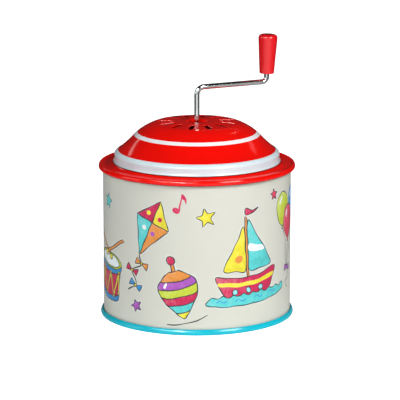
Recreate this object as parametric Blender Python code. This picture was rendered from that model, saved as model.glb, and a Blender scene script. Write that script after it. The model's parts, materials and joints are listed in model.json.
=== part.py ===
"""Hand-cranked music box in a tin can, in metres, +Z up, standing on the floor at z = 0.

The can's axis is the crank's axis. The front of the can faces -Y. The movement hangs from a strap that
the can's wall and the lid hold between them.
"""
from math import asin, cos, pi, radians, sin, tan

import bmesh
import bpy
from mathutils import Matrix, Vector

MM = 0.001

# Fits: a piece that seats on another, a shaft that runs in a bore, a piece pressed on another
SEAT_GAP = 0.3 * MM
RUN_GAP = 0.1 * MM
PRESS_GAP = 0.15 * MM

# Can wall
WALL_RADIUS = 36.5 * MM
TIN = 0.3 * MM
WALL_FLANGE = 0.7 * MM
LOCK_SEAM_WIDTH = 4.0 * MM
LOCK_SEAM_DEPTH = 0.45 * MM
CAN_SIDES = 56

# Facets of the round pieces inside, by size
CYLINDER_SIDES = 48
SHAFT_SIDES = 24
SMALL_SIDES = 16
WIDE_ARC_STEPS = 4
NARROW_ARC_STEPS = 2
SHARP_EDGE = radians(35)
MERGE_DISTANCE = 0.001 * MM

# Lid, with its heights above the middle of the rolled rim
RIM_Z = 58.6 * MM
HEM_RADIUS = 0.85 * MM
HEM_REACH = 0.85 * MM
HEM_TUCK = 0.45 * MM
SHAFT_HOLE_RADIUS = 2.4 * MM
DIMPLE_FLOOR_RADIUS = 3.75 * MM
DIMPLE_RADIUS = 4.25 * MM
DIMPLE_RISE = 16.6 * MM
CROWN_RISE = 17.35 * MM
DOME_RADIUS = 16.5 * MM
DOME_RISE = 16.75 * MM
DOME_BULGE = 0.15 * MM
SHOULDER_WIDTH = 7.85 * MM
SHOULDER_RISE = 12.08 * MM
SHOULDER_BULGE = 0.5 * MM
SKIRT_WIDTH = 6.25 * MM
SKIRT_RISE = 6.23 * MM
SKIRT_HOLLOW = 0.2 * MM
BEAD_WIDTH = 1.45 * MM
BEAD_BULGE = 0.3 * MM
BEAD_RISE = 4.75 * MM
BEAD_FOOT_RISE = 2.9 * MM
BEAD_FLARE = 0.3 * MM
GUTTER_RISE = 2.1 * MM
GUTTER_HOLLOW = 0.2 * MM

# Sound slots in the dome
SLOT_COUNT = 12
SLOT_PHASE = radians(-70)
SLOT_INNER = 8.8 * MM
SLOT_OUTER = 15.3 * MM
SLOT_WIDTH = 1.7 * MM

# Bottom
BASE_REACH = 1.2 * MM
BASE_EDGE = 0.55 * MM
BASE_BAND = 2.3 * MM
BASE_WAIST_Z = 0.75 * MM
REST_RING_WIDTH = 1.0 * MM
PANEL_Z = 2.2 * MM
PANEL_STEP = 0.4 * MM
PANEL_STEP_RADIUS = 24.0 * MM

# Crank and knob
WIRE_RADIUS = 1.02 * MM
CRANK_REACH = 30.35 * MM
ARM_ABOVE_CROWN = 13.15 * MM
ARM_AZIMUTH = radians(26.5)
FOOT_BEND = 2.9 * MM
PIN_BEND = 1.9 * MM
PIN_LEAN = radians(2)
KNOB_ABOVE_ARM = 3.25 * MM
KNOB_LENGTH = 15.4 * MM
KNOB_FOOT_RADIUS = 2.85 * MM
KNOB_TOP_RADIUS = 3.75 * MM
KNOB_FOOT_EDGE = 0.4 * MM
KNOB_TOP_EDGE = 1.4 * MM
KNOB_BORE_DEPTH = 11.0 * MM
PIN_HEAD_RADIUS = 1.3 * MM
PIN_HEAD_LENGTH = 1.6 * MM

# Strap that carries the movement
STRAP_RISE = 7.4 * MM
STRAP_THICKNESS = 0.6 * MM
STRAP_WIDTH = 16.0 * MM
STRAP_FOOT_INSET = 0.5 * MM
STRAP_LAP = 0.1 * MM

# Worm and wheel
MODULE = 0.75 * MM
WHEEL_TEETH = 16
WHEEL_WIDTH = 3.0 * MM
WORM_PITCH_RADIUS = 2.6 * MM
WORM_LENGTH = 12.0 * MM
WORM_TURNS = 4.4
TOOTH_TOP = 0.8
TOOTH_FOOT = 1.13
FLANK_ANGLE = radians(20)
BACKLASH = 0.2 * MM

# Worm shaft and its bearings
SHAFT_RADIUS = 2.0 * MM
JOURNAL_RADIUS = 1.5 * MM
COLLAR_RADIUS = 2.6 * MM
COLLAR_HEIGHT = 1.2 * MM
NECK_LENGTH = 3.9 * MM
SHAFT_ABOVE_STRAP = 4.5 * MM
SOCKET_DEPTH = 8.5 * MM
BUSH_WALL = 0.9 * MM
BUSH_FLANGE_WIDTH = 1.1 * MM
BUSH_FLANGE_HEIGHT = 0.8 * MM
BUSH_TAIL = 1.4 * MM
CLIP_THICKNESS = 0.6 * MM
CLIP_WIDTH = 1.6 * MM
CLIP_MOUTH = radians(100)
GROOVE_DEPTH = 0.4 * MM
WASHER_THICKNESS = 0.4 * MM
WASHER_WIDTH = 1.3 * MM

# Cylinder with its pins
CYLINDER_RADIUS = 6.5 * MM
CYLINDER_WALL = 0.6 * MM
PIN_HEIGHT = 0.8 * MM
PIN_WIDTH = 0.36 * MM
PIN_ROOT = 0.3 * MM
TUNE_STEPS = 24
TUNE_CHORD = (0, 5, 11)
TUNE_STRIDE = 5
ARBOR_RADIUS = 1.0 * MM
ARBOR_HEAD_RADIUS = 1.8 * MM
ARBOR_HEAD_LENGTH = 1.0 * MM
HUB_RADIUS = 2.6 * MM
HUB_LENGTH = 2.7 * MM
PLUG_LENGTH = 3.5 * MM
CAP_THICKNESS = 1.0 * MM

# Comb
COMB_TEETH = 18
TOOTH_PITCH = 1.05 * MM
TOOTH_WIDTH = 0.8 * MM
TOOTH_THICKNESS = 0.8 * MM
TOOTH_ROOT = 1.0 * MM
TRACK_MARGIN = 1.2 * MM
COMB_MARGIN = 1.0 * MM
COMB_THICKNESS = 2.0 * MM
COMB_CLEARANCE = 0.2 * MM
BASS_LENGTH = 15.5 * MM
TREBLE_LENGTH = 9.5 * MM
COMB_BASE_DEPTH = 8.3 * MM
WEIGHT_COUNT = 6
WEIGHT_DEPTH = 2.2 * MM
WEIGHT_LENGTH = 5.0 * MM
WEIGHT_TAPER = 0.5 * MM
WEIGHT_BELOW_TIP = 1.5 * MM
SOLDER = 0.1 * MM

# Bedplate
PLATE_THICKNESS = 2.0 * MM
PLATE_CLEARANCE = 1.6 * MM
PLATE_MARGIN = 1.5 * MM
CAST_STEP = 0.4 * MM
CHEEK_THICKNESS = 2.0 * MM
CHEEK_RADIUS = 3.2 * MM
EAR_THICKNESS = 3.0 * MM
EAR_WIDTH = 6.5 * MM
EAR_CLEARANCE = 2.3 * MM
EAR_SCREW_INSET = 3.5 * MM
LEFT_EAR_X = -5.5 * MM
RIGHT_EAR_X = 14.5 * MM
STRAP_SCREW_INSET = 1.5 * MM
LUG_THICKNESS = 3.0 * MM
LUG_RADIUS = 4.2 * MM
LUG_ARM_LEFT = 3.9 * MM
LUG_ARM_RIGHT = 1.4 * MM
OVERLAP = 0.5 * MM

# Screws
SCREW_RADIUS = 1.25 * MM
SCREW_HEAD_RADIUS = 2.3 * MM
SCREW_HEAD_HEIGHT = 1.4 * MM
SCREW_SLOT_WIDTH = 0.6 * MM
SCREW_SLOT_DEPTH = 0.6 * MM
SCREW_CLEARANCE = 0.35 * MM
THREAD_CLEARANCE = 0.15 * MM
COMB_SCREW_INSET = 4.5 * MM
SCREW_BITE = 4.0 * MM

# Places worked out from the sizes above
LID_TOP = RIM_Z + CROWN_RISE
HEM_CENTRE = WALL_RADIUS + HEM_REACH
SHOULDER_RADIUS = DOME_RADIUS + SHOULDER_WIDTH
SKIRT_RADIUS = SHOULDER_RADIUS + SKIRT_WIDTH
BEAD_RADIUS = SKIRT_RADIUS + BEAD_WIDTH
FLANGE_Z = RIM_Z + TIN / 2
STRAP_TOP = RIM_Z + STRAP_RISE
STRAP_UNDER = STRAP_TOP - STRAP_THICKNESS
TAB_UNDER = RIM_Z - SEAT_GAP
STRAP_SCREW_Y = STRAP_WIDTH / 2 - STRAP_SCREW_INSET
ARM_Z = LID_TOP + ARM_ABOVE_CROWN
WHEEL_RADIUS = WHEEL_TEETH * MODULE / 2
WORM_PITCH = pi * MODULE
ARBOR_Y = WORM_PITCH_RADIUS + WHEEL_RADIUS
PIN_CIRCLE = CYLINDER_RADIUS + PIN_HEIGHT
EAR_TOP = STRAP_UNDER - SEAT_GAP
ARBOR_Z = EAR_TOP - EAR_THICKNESS - EAR_CLEARANCE - PIN_CIRCLE
COLLAR_Z = ARBOR_Z - WORM_LENGTH / 2 - NECK_LENGTH - COLLAR_HEIGHT
LOWER_FLANGE_Z = COLLAR_Z - SEAT_GAP - BUSH_FLANGE_HEIGHT
LUG_TOP = LOWER_FLANGE_Z - SEAT_GAP
LUG_UNDER = LUG_TOP - LUG_THICKNESS
WASHER_Z = LUG_UNDER - 2 * SEAT_GAP - WASHER_THICKNESS
SHAFT_CLIP_Z = WASHER_Z - SEAT_GAP - CLIP_THICKNESS
SHAFT_TOP = STRAP_TOP + SHAFT_ABOVE_STRAP
WORM_TIP = WORM_PITCH_RADIUS + TOOTH_TOP * MODULE
WORM_ROOT = WORM_PITCH_RADIUS - TOOTH_FOOT * MODULE
TUBE_START = WORM_TIP
FIRST_TOOTH_X = TUBE_START + TRACK_MARGIN
LAST_TOOTH_X = FIRST_TOOTH_X + (COMB_TEETH - 1) * TOOTH_PITCH
TUBE_END = LAST_TOOTH_X + TOOTH_PITCH / 2 + PIN_WIDTH / 2
LEFT_CHEEK_X = -WHEEL_WIDTH / 2 - HUB_LENGTH - SEAT_GAP
RIGHT_CHEEK_X = TUBE_END + SEAT_GAP + CAP_THICKNESS + SEAT_GAP
TIP_Z = ARBOR_Z - PIN_CIRCLE - COMB_CLEARANCE
COMB_LEFT = FIRST_TOOTH_X - TOOTH_WIDTH / 2 - COMB_MARGIN
COMB_RIGHT = LAST_TOOTH_X + TOOTH_WIDTH / 2 + COMB_MARGIN
COMB_FOOT_Z = TIP_Z - BASS_LENGTH - COMB_BASE_DEPTH
COMB_FRONT = ARBOR_Y - COMB_THICKNESS / 2
COMB_BACK = ARBOR_Y + COMB_THICKNESS / 2
COMB_SCREW_Z = COMB_FOOT_Z + COMB_BASE_DEPTH / 2
PLATE_FRONT = ARBOR_Y + PIN_CIRCLE + PLATE_CLEARANCE
PLATE_BACK = PLATE_FRONT + PLATE_THICKNESS


def clear_scene():
    for thing in list(bpy.data.objects):
        bpy.data.objects.remove(thing, do_unlink=True)


def paint(name, colour, roughness, metallic):
    made = bpy.data.materials.new(name)
    made.use_nodes = True
    shader = made.node_tree.nodes["Principled BSDF"]
    shader.inputs["Base Color"].default_value = (*colour, 1.0)
    shader.inputs["Roughness"].default_value = roughness
    shader.inputs["Metallic"].default_value = metallic
    return made


def empty(name, location=(0, 0, 0), rotation=(0, 0, 0), parent=None):
    made = bpy.data.objects.new(name, None)
    made.location = location
    made.rotation_euler = rotation
    made.parent = parent
    bpy.context.collection.objects.link(made)
    return made


def finished(name, bm, material, parent=None, location=(0, 0, 0), rotation=(0, 0, 0)):
    """Turns a bmesh into a named object with outward faces and smooth round sides."""
    bmesh.ops.recalc_face_normals(bm, faces=bm.faces)
    mesh = bpy.data.meshes.new(name)
    bm.to_mesh(mesh)
    bm.free()
    mesh.shade_smooth()
    mesh.set_sharp_from_angle(angle=SHARP_EDGE)
    if material:
        mesh.materials.append(material)
    made = bpy.data.objects.new(name, mesh)
    made.parent = parent
    made.location = location
    made.rotation_euler = rotation
    bpy.context.collection.objects.link(made)
    return made


def turned(name, outline, material, sides, **placing):
    """An outline of (radius, height) points turned about the local Z axis.

    An outline that starts and ends on the axis stays open, any other is closed."""
    bm = bmesh.new()
    points = [bm.verts.new((radius, 0, height)) for radius, height in outline]
    pairs = list(zip(points, points[1:]))
    if outline[0][0] > 0 or outline[-1][0] > 0:
        pairs.append((points[-1], points[0]))
    edges = [bm.edges.new(pair) for pair in pairs]
    bmesh.ops.spin(bm, geom=points + edges, cent=(0, 0, 0), axis=(0, 0, 1), angle=2 * pi,
                   steps=sides, use_merge=True)
    bmesh.ops.remove_doubles(bm, verts=bm.verts, dist=MERGE_DISTANCE)
    return finished(name, bm, material, **placing)


def prism(name, outline, low, high, along, material=None, **placing):
    """An outline of points in one plane, extruded along the axis square to it from low to high."""
    order = {"X": (2, 0, 1), "Y": (0, 2, 1), "Z": (0, 1, 2)}[along]
    bm = bmesh.new()
    points = []
    for u, v in outline:
        flat = (u, v, low)
        points.append(bm.verts.new([flat[index] for index in order]))
    face = bm.faces.new(points)
    raised = bmesh.ops.extrude_face_region(bm, geom=[face])
    moved = [item for item in raised["geom"] if isinstance(item, bmesh.types.BMVert)]
    shift = [(0, 0, high - low)[index] for index in order]
    bmesh.ops.translate(bm, verts=moved, vec=shift)
    return finished(name, bm, material, **placing)


def circle(centre, radius, sides):
    u, v = centre
    return [(u + radius * cos(2 * pi * step / sides), v + radius * sin(2 * pi * step / sides))
            for step in range(sides)]


def half_circle(start, radius, steps):
    return [(radius * cos(start + pi * step / steps), radius * sin(start + pi * step / steps))
            for step in range(steps + 1)]


def rectangle(left, right, low, high):
    return [(left, low), (right, low), (right, high), (left, high)]


def arc(start, end, bulge, steps):
    """Points of a round arc from start to end, bulging to the left of the way it runs."""
    start, end = Vector(start), Vector(end)
    chord = end - start
    left = Vector((-chord.y, chord.x)).normalized()
    radius = (chord.length_squared / 4 + bulge * bulge) / (2 * bulge)
    centre = (start + end) / 2 + left * (bulge - radius)
    half_angle = asin(chord.length / 2 / radius)
    arm = start - centre
    turned_arms = [Matrix.Rotation(-2 * half_angle * step / steps, 2) @ arm for step in range(steps + 1)]
    return [tuple(centre + turned_arm) for turned_arm in turned_arms]


def sheet(line, thickness):
    """Closes a line into a sheet that lies to the right of the way the line runs."""
    points = [Vector(point) for point in line]
    rights = []
    for here, there in zip(points, points[1:]):
        way = (there - here).normalized()
        rights.append(Vector((way.y, -way.x)))
    inner = []
    for index, point in enumerate(points):
        before = rights[max(index - 1, 0)]
        after = rights[min(index, len(rights) - 1)]
        middle = (before + after).normalized()
        inner.append(tuple(point + middle * (thickness / middle.dot(after))))
    return [tuple(point) for point in points] + inner[::-1]


def helper(made):
    made.hide_render = True
    made.display_type = "WIRE"
    return made


def combine(target, operation, other):
    step = target.modifiers.new(other.name, "BOOLEAN")
    step.operation = operation
    step.object = helper(other)


def can_wall(tin):
    wall_inner = WALL_RADIUS - TIN
    top_reach = WALL_RADIUS + WALL_FLANGE
    foot_reach = WALL_RADIUS + BASE_REACH - 2 * SEAT_GAP
    foot_z = TIN + SEAT_GAP
    outline = [
        (WALL_RADIUS, foot_z + TIN),
        (WALL_RADIUS, FLANGE_Z - TIN),
        (top_reach, FLANGE_Z - TIN),
        (top_reach, FLANGE_Z),
        (wall_inner, FLANGE_Z),
        (wall_inner, foot_z),
        (foot_reach, foot_z),
        (foot_reach, foot_z + TIN),
    ]
    wall = turned("can_wall", outline, tin, CAN_SIDES)
    seam_half = LOCK_SEAM_WIDTH / 2
    seam = rectangle(-seam_half, seam_half, wall_inner - LOCK_SEAM_DEPTH, wall_inner + TIN / 2)
    seam_low = PANEL_Z + PANEL_STEP + 2 * TIN
    combine(wall, "UNION", prism("seam_fold", seam, seam_low, FLANGE_Z - 2 * TIN, "Z"))
    notch_half = STRAP_WIDTH / 2 + SEAT_GAP
    for side in (-1, 1):
        ends = sorted((side * BEAD_RADIUS, side * (WALL_RADIUS + 2 * WALL_FLANGE)))
        notch = rectangle(ends[0], ends[1], -notch_half, notch_half)
        cutter = prism(f"notch_{side}", notch, TAB_UNDER - SEAT_GAP, FLANGE_Z + TIN, "Z")
        combine(wall, "DIFFERENCE", cutter)
    return wall


def lid(red):
    line = [(SHAFT_HOLE_RADIUS, RIM_Z + DIMPLE_RISE), (DIMPLE_FLOOR_RADIUS, RIM_Z + DIMPLE_RISE)]
    line += arc((DIMPLE_RADIUS, LID_TOP), (DOME_RADIUS, RIM_Z + DOME_RISE), DOME_BULGE, NARROW_ARC_STEPS)
    line += arc(line[-1], (SHOULDER_RADIUS, RIM_Z + SHOULDER_RISE), SHOULDER_BULGE,
                WIDE_ARC_STEPS)[1:]
    line += arc(line[-1], (SKIRT_RADIUS, RIM_Z + SKIRT_RISE), -SKIRT_HOLLOW,
                NARROW_ARC_STEPS)[1:]
    line += arc(line[-1], (BEAD_RADIUS, RIM_Z + BEAD_RISE), BEAD_BULGE, NARROW_ARC_STEPS)[1:]
    line.append((BEAD_RADIUS, RIM_Z + BEAD_FOOT_RISE))
    gutter = arc((BEAD_RADIUS + BEAD_FLARE, RIM_Z + GUTTER_RISE), (HEM_CENTRE, RIM_Z + HEM_RADIUS),
                 -GUTTER_HOLLOW, NARROW_ARC_STEPS)
    line += gutter[:-1]
    line += [(HEM_CENTRE + u, RIM_Z - v) for u, v in half_circle(-pi / 2, HEM_RADIUS, WIDE_ARC_STEPS)]
    line.append((HEM_CENTRE - HEM_TUCK, RIM_Z - HEM_RADIUS))
    made = turned("lid", sheet(line, TIN), red, CAN_SIDES)
    end_radius = SLOT_WIDTH / 2
    slot = [(SLOT_INNER + end_radius + u, v) for u, v in half_circle(pi / 2, end_radius, WIDE_ARC_STEPS)]
    slot += [(SLOT_OUTER - end_radius + u, v) for u, v in half_circle(-pi / 2, end_radius, WIDE_ARC_STEPS)]
    for index in range(SLOT_COUNT):
        turn = SLOT_PHASE + 2 * pi * index / SLOT_COUNT
        cutter = prism(f"slot_{index + 1}", slot, RIM_Z + SHOULDER_RISE, LID_TOP + TIN, "Z",
                       rotation=(0, 0, turn))
        combine(made, "DIFFERENCE", cutter)
    return made


def base_pan(blue):
    reach = WALL_RADIUS + BASE_REACH
    chuck = WALL_RADIUS - TIN - SEAT_GAP - TIN
    ring_inner = chuck + BASE_EDGE - SEAT_GAP / 2
    ring_outer = ring_inner + REST_RING_WIDTH
    line = [
        (0, PANEL_Z + PANEL_STEP),
        (PANEL_STEP_RADIUS, PANEL_Z + PANEL_STEP),
        (PANEL_STEP_RADIUS + 2 * PANEL_STEP, PANEL_Z),
        (chuck - BASE_EDGE, PANEL_Z),
        (chuck, PANEL_Z - BASE_EDGE),
        (chuck, BASE_EDGE / 2),
        (ring_inner, 0),
        (ring_outer, 0),
        (reach - TIN / 2, BASE_WAIST_Z / 4),
        (reach, BASE_WAIST_Z),
        (WALL_RADIUS + SEAT_GAP + TIN, BASE_BAND),
    ]
    mirrored = [(-radius, height) for radius, height in line]
    solid = [(-radius, height) for radius, height in sheet(mirrored, TIN)]
    return turned("base_pan", solid, blue, CAN_SIDES)


def carrier_strap(steel):
    tip = WALL_RADIUS + STRAP_LAP
    tab_top = TAB_UNDER + STRAP_THICKNESS
    foot = BEAD_RADIUS - STRAP_FOOT_INSET
    top = [(-tip - STRAP_THICKNESS, tab_top), (-foot, tab_top), (-SHOULDER_RADIUS, STRAP_TOP),
           (SHOULDER_RADIUS, STRAP_TOP), (foot, tab_top), (tip + STRAP_THICKNESS, tab_top)]
    section = sheet(top, STRAP_THICKNESS)
    strap = prism("carrier_strap", section, -STRAP_WIDTH / 2, STRAP_WIDTH / 2, "Y", steel)
    round_trim = circle((0, 0), tip, CAN_SIDES)
    trim = prism("strap_trim", round_trim, RIM_Z - STRAP_THICKNESS, STRAP_TOP + TIN, "Z")
    combine(strap, "INTERSECT", trim)
    bush_hole = SHAFT_RADIUS + RUN_GAP + BUSH_WALL + SEAT_GAP
    holes = [(0, 0, bush_hole)]
    for ear_x in (LEFT_EAR_X, RIGHT_EAR_X):
        holes.append((ear_x, STRAP_SCREW_Y, SCREW_RADIUS + SCREW_CLEARANCE))
    for index, (x, y, radius) in enumerate(holes):
        outline = circle((x, y), radius, SHAFT_SIDES)
        cutter = prism(f"strap_hole_{index + 1}", outline, STRAP_UNDER - TIN, STRAP_TOP + TIN, "Z")
        combine(strap, "DIFFERENCE", cutter)
    return strap


def bush(name, brass, bore, flange_z, tail):
    """A flanged bush that stands in a hole, with its flange lying on top."""
    inner = bore + RUN_GAP
    outer = inner + BUSH_WALL
    flange = outer + BUSH_FLANGE_WIDTH
    top = BUSH_FLANGE_HEIGHT
    outline = [(inner, -tail), (outer, -tail), (outer, 0), (flange, 0), (flange, top), (inner, top)]
    return turned(name, outline, brass, SHAFT_SIDES, location=(0, 0, flange_z))


def worm_shaft(brass, axis):
    """Upright shaft, with its origin where the worm meets the wheel."""
    half = WORM_LENGTH / 2
    collar = COLLAR_Z - ARBOR_Z
    clip_z = SHAFT_CLIP_Z - ARBOR_Z
    groove_low = clip_z - SEAT_GAP
    groove_high = clip_z + CLIP_THICKNESS + SEAT_GAP / 2
    groove = JOURNAL_RADIUS - GROOVE_DEPTH
    top = SHAFT_TOP - ARBOR_Z
    socket = WIRE_RADIUS + PRESS_GAP
    outline = [
        (0, groove_low - 2 * GROOVE_DEPTH),
        (JOURNAL_RADIUS, groove_low - 2 * GROOVE_DEPTH),
        (JOURNAL_RADIUS, groove_low),
        (groove, groove_low),
        (groove, groove_high),
        (JOURNAL_RADIUS, groove_high),
        (JOURNAL_RADIUS, collar),
        (COLLAR_RADIUS, collar),
        (COLLAR_RADIUS, collar + COLLAR_HEIGHT),
        (SHAFT_RADIUS, collar + COLLAR_HEIGHT),
        (SHAFT_RADIUS, -half),
        (WORM_ROOT, -half),
        (WORM_ROOT, half),
        (SHAFT_RADIUS, half),
        (SHAFT_RADIUS, top),
        (socket, top),
        (socket, top - SOCKET_DEPTH),
        (0, top - SOCKET_DEPTH),
    ]
    shaft = turned("worm_shaft", outline, brass, SHAFT_SIDES, parent=axis, location=(0, 0, ARBOR_Z))
    combine(shaft, "UNION", worm_thread(axis))
    return shaft


def worm_thread(axis):
    """One right-hand thread, placed so that a space faces the wheel when the crank is at rest."""
    steps_per_turn = 16
    thickness = WORM_PITCH / 2 - BACKLASH
    buried = WORM_ROOT / 2
    foot_half = thickness / 2 + (WORM_PITCH_RADIUS - WORM_ROOT) * tan(FLANK_ANGLE)
    tip_half = thickness / 2 - (WORM_TIP - WORM_PITCH_RADIUS) * tan(FLANK_ANGLE)
    wheel_side = pi / 2 - ARM_AZIMUTH
    bm = bmesh.new()
    rings = []
    count = round(WORM_TURNS * steps_per_turn)
    for step in range(count + 1):
        turn = 2 * pi * (step - count / 2) / steps_per_turn
        angle = wheel_side + pi + turn
        middle = WORM_PITCH * turn / (2 * pi)
        ring = []
        for radius, offset in ((buried, -foot_half), (WORM_ROOT, -foot_half), (WORM_TIP, -tip_half),
                               (WORM_TIP, tip_half), (WORM_ROOT, foot_half), (buried, foot_half)):
            ring.append(bm.verts.new((radius * cos(angle), radius * sin(angle), middle + offset)))
        rings.append(ring)
    for here, there in zip(rings, rings[1:]):
        for index in range(len(here)):
            after = (index + 1) % len(here)
            bm.faces.new((here[index], here[after], there[after], there[index]))
    bm.faces.new(rings[0])
    bm.faces.new(rings[-1])
    return finished("worm_thread", bm, None, parent=axis, location=(0, 0, ARBOR_Z))


def worm_wheel(brass, axis):
    """Helical wheel with a hub on one side and the cylinder's plug on the other, along local Z."""
    root = WHEEL_RADIUS - TOOTH_FOOT * MODULE
    tip = WHEEL_RADIUS + TOOTH_TOP * MODULE
    thickness = WORM_PITCH / 2 - BACKLASH
    foot_half = (thickness / 2 + (WHEEL_RADIUS - root) * tan(FLANK_ANGLE)) / root
    tip_half = (thickness / 2 - (tip - WHEEL_RADIUS) * tan(FLANK_ANGLE)) / tip
    twist_per_length = WORM_PITCH / (2 * pi * WORM_PITCH_RADIUS) / WHEEL_RADIUS
    worm_side = -pi / 2
    flank = ((root, -foot_half), (tip, -tip_half), (tip, tip_half), (root, foot_half))
    bm = bmesh.new()
    rings = []
    for height in (-WHEEL_WIDTH / 2, 0, WHEEL_WIDTH / 2):
        ring = []
        for tooth in range(WHEEL_TEETH):
            middle = worm_side + 2 * pi * tooth / WHEEL_TEETH + twist_per_length * height
            for radius, offset in flank:
                angle = middle + offset
                ring.append(bm.verts.new((radius * cos(angle), radius * sin(angle), height)))
        rings.append(ring)
    for here, there in zip(rings, rings[1:]):
        for index in range(len(here)):
            after = (index + 1) % len(here)
            bm.faces.new((here[index], here[after], there[after], there[index]))
    bm.faces.new(rings[0])
    bm.faces.new(rings[-1])
    wheel = finished("worm_wheel", bm, brass, parent=axis)
    plug = CYLINDER_RADIUS - CYLINDER_WALL - SEAT_GAP
    hub_end = -WHEEL_WIDTH / 2 - HUB_LENGTH
    neck = root - OVERLAP
    plug_end = TUBE_START + PLUG_LENGTH
    outline = [(0, hub_end), (HUB_RADIUS, hub_end), (HUB_RADIUS, 0), (neck, 0), (neck, TUBE_START),
               (plug, TUBE_START), (plug, plug_end), (0, plug_end)]
    combine(wheel, "UNION", turned("wheel_hub", outline, None, SHAFT_SIDES, parent=axis))
    bore = circle((0, 0), ARBOR_RADIUS + PRESS_GAP, SMALL_SIDES)
    cutter = prism("wheel_bore", bore, hub_end - TIN, plug_end + TIN, "Z", parent=axis)
    combine(wheel, "DIFFERENCE", cutter)
    return wheel


def music_cylinder(brass, axis):
    inner = CYLINDER_RADIUS - CYLINDER_WALL
    section = rectangle(inner, CYLINDER_RADIUS, TUBE_START, TUBE_END)
    tube = turned("music_cylinder", section, brass, CYLINDER_SIDES, parent=axis)
    bm = bmesh.new()
    for step in range(TUNE_STEPS):
        turn = Matrix.Rotation(2 * pi * step / TUNE_STEPS, 4, "Z")
        for voice in TUNE_CHORD:
            tooth = (TUNE_STRIDE * step + voice) % COMB_TEETH
            foot = CYLINDER_RADIUS - PIN_ROOT
            size = (PIN_CIRCLE - foot, PIN_WIDTH, PIN_WIDTH)
            place = Matrix.Translation(((PIN_CIRCLE + foot) / 2, 0, FIRST_TOOTH_X + tooth * TOOTH_PITCH))
            stretch = Matrix.Diagonal((*size, 1.0))
            bmesh.ops.create_cube(bm, size=1.0, matrix=turn @ place @ stretch)
    combine(tube, "UNION", finished("tune_pins", bm, None, parent=axis))
    return tube


def cylinder_cap(brass, axis):
    bore = ARBOR_RADIUS + PRESS_GAP
    plug = CYLINDER_RADIUS - CYLINDER_WALL - SEAT_GAP
    low = TUBE_END - PLUG_LENGTH
    seat = TUBE_END + SEAT_GAP
    top = seat + CAP_THICKNESS
    outline = [
        (bore, low),
        (plug, low),
        (plug, seat),
        (CYLINDER_RADIUS, seat),
        (CYLINDER_RADIUS, top),
        (bore, top),
    ]
    return turned("cylinder_cap", outline, brass, SHAFT_SIDES, parent=axis)


def cylinder_arbor(steel, axis):
    groove = ARBOR_RADIUS - GROOVE_DEPTH
    groove_low = arbor_clip_place() - SEAT_GAP / 2
    groove_high = arbor_clip_place() + CLIP_THICKNESS + SEAT_GAP / 2
    end = groove_low - SEAT_GAP / 2 - 2 * GROOVE_DEPTH
    head = RIGHT_CHEEK_X + CHEEK_THICKNESS + SEAT_GAP
    outline = [
        (0, end),
        (ARBOR_RADIUS, end),
        (ARBOR_RADIUS, groove_low),
        (groove, groove_low),
        (groove, groove_high),
        (ARBOR_RADIUS, groove_high),
        (ARBOR_RADIUS, head),
        (ARBOR_HEAD_RADIUS, head),
        (ARBOR_HEAD_RADIUS, head + ARBOR_HEAD_LENGTH),
        (0, head + ARBOR_HEAD_LENGTH),
    ]
    return turned("cylinder_arbor", outline, steel, SMALL_SIDES, parent=axis)


def arbor_clip_place():
    return LEFT_CHEEK_X - CHEEK_THICKNESS - SEAT_GAP - CLIP_THICKNESS


def clip(name, shaft_radius, low, steel, axis):
    """An open spring clip that sits in a groove."""
    inner = shaft_radius - GROOVE_DEPTH + PRESS_GAP
    outer = inner + CLIP_WIDTH
    steps = 8
    outline = []
    for radius, order in ((outer, range(steps + 1)), (inner, range(steps, -1, -1))):
        for step in order:
            angle = CLIP_MOUTH / 2 + (2 * pi - CLIP_MOUTH) * step / steps
            outline.append((radius * cos(angle), radius * sin(angle)))
    return prism(name, outline, low, low + CLIP_THICKNESS, "Z", steel, parent=axis)


def thrust_washer(brass, axis):
    inner = JOURNAL_RADIUS + RUN_GAP
    outer = inner + WASHER_WIDTH
    outline = [(inner, 0), (outer, 0), (outer, WASHER_THICKNESS), (inner, WASHER_THICKNESS)]
    return turned("thrust_washer", outline, brass, SHAFT_SIDES, parent=axis, location=(0, 0, WASHER_Z))


def crank_path():
    """The wire's centre line in its own plane: up the axis, out along the arm and up the pin."""
    socket_floor = SHAFT_TOP - SOCKET_DEPTH
    bend_steps = 6
    path = [(0, socket_floor + SEAT_GAP)]
    for step in range(bend_steps + 1):
        angle = pi / 2 * step / bend_steps
        path.append((FOOT_BEND * (1 - cos(angle)), ARM_Z - FOOT_BEND * (1 - sin(angle))))
    sweep = pi / 2 - PIN_LEAN
    setback = PIN_BEND * tan(sweep / 2)
    for step in range(bend_steps + 1):
        angle = sweep * step / bend_steps
        path.append((CRANK_REACH - setback + PIN_BEND * sin(angle), ARM_Z + PIN_BEND * (1 - cos(angle))))
    return path


def pin_point(height):
    """A point on the pin's axis, at a distance along it from the arm's centre line."""
    return (CRANK_REACH + height * sin(PIN_LEAN), ARM_Z + height * cos(PIN_LEAN))


def crank(chrome, axis):
    """Bent wire with a swaged head that the knob snaps over."""
    head_top = KNOB_ABOVE_ARM + KNOB_BORE_DEPTH - SEAT_GAP
    head_foot = head_top - PIN_HEAD_LENGTH
    swell = PIN_HEAD_RADIUS / WIRE_RADIUS
    points = [(place, 1.0) for place in crank_path()]
    points.append((pin_point(head_foot), 1.0))
    points.append((pin_point(head_foot + SEAT_GAP), swell))
    points.append((pin_point(head_top), swell))
    wire = bpy.data.curves.new("crank", "CURVE")
    wire.dimensions = "3D"
    wire.bevel_depth = WIRE_RADIUS
    wire.bevel_resolution = 4
    wire.use_fill_caps = True
    wire.render_resolution_u = 0
    line = wire.splines.new("POLY")
    line.points.add(len(points) - 1)
    for point, ((x, z), radius) in zip(line.points, points):
        point.co = (x, 0, z, 1)
        point.radius = radius
    wire.materials.append(chrome)
    made = bpy.data.objects.new("crank", wire)
    made.parent = axis
    bpy.context.collection.objects.link(made)
    return made


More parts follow.
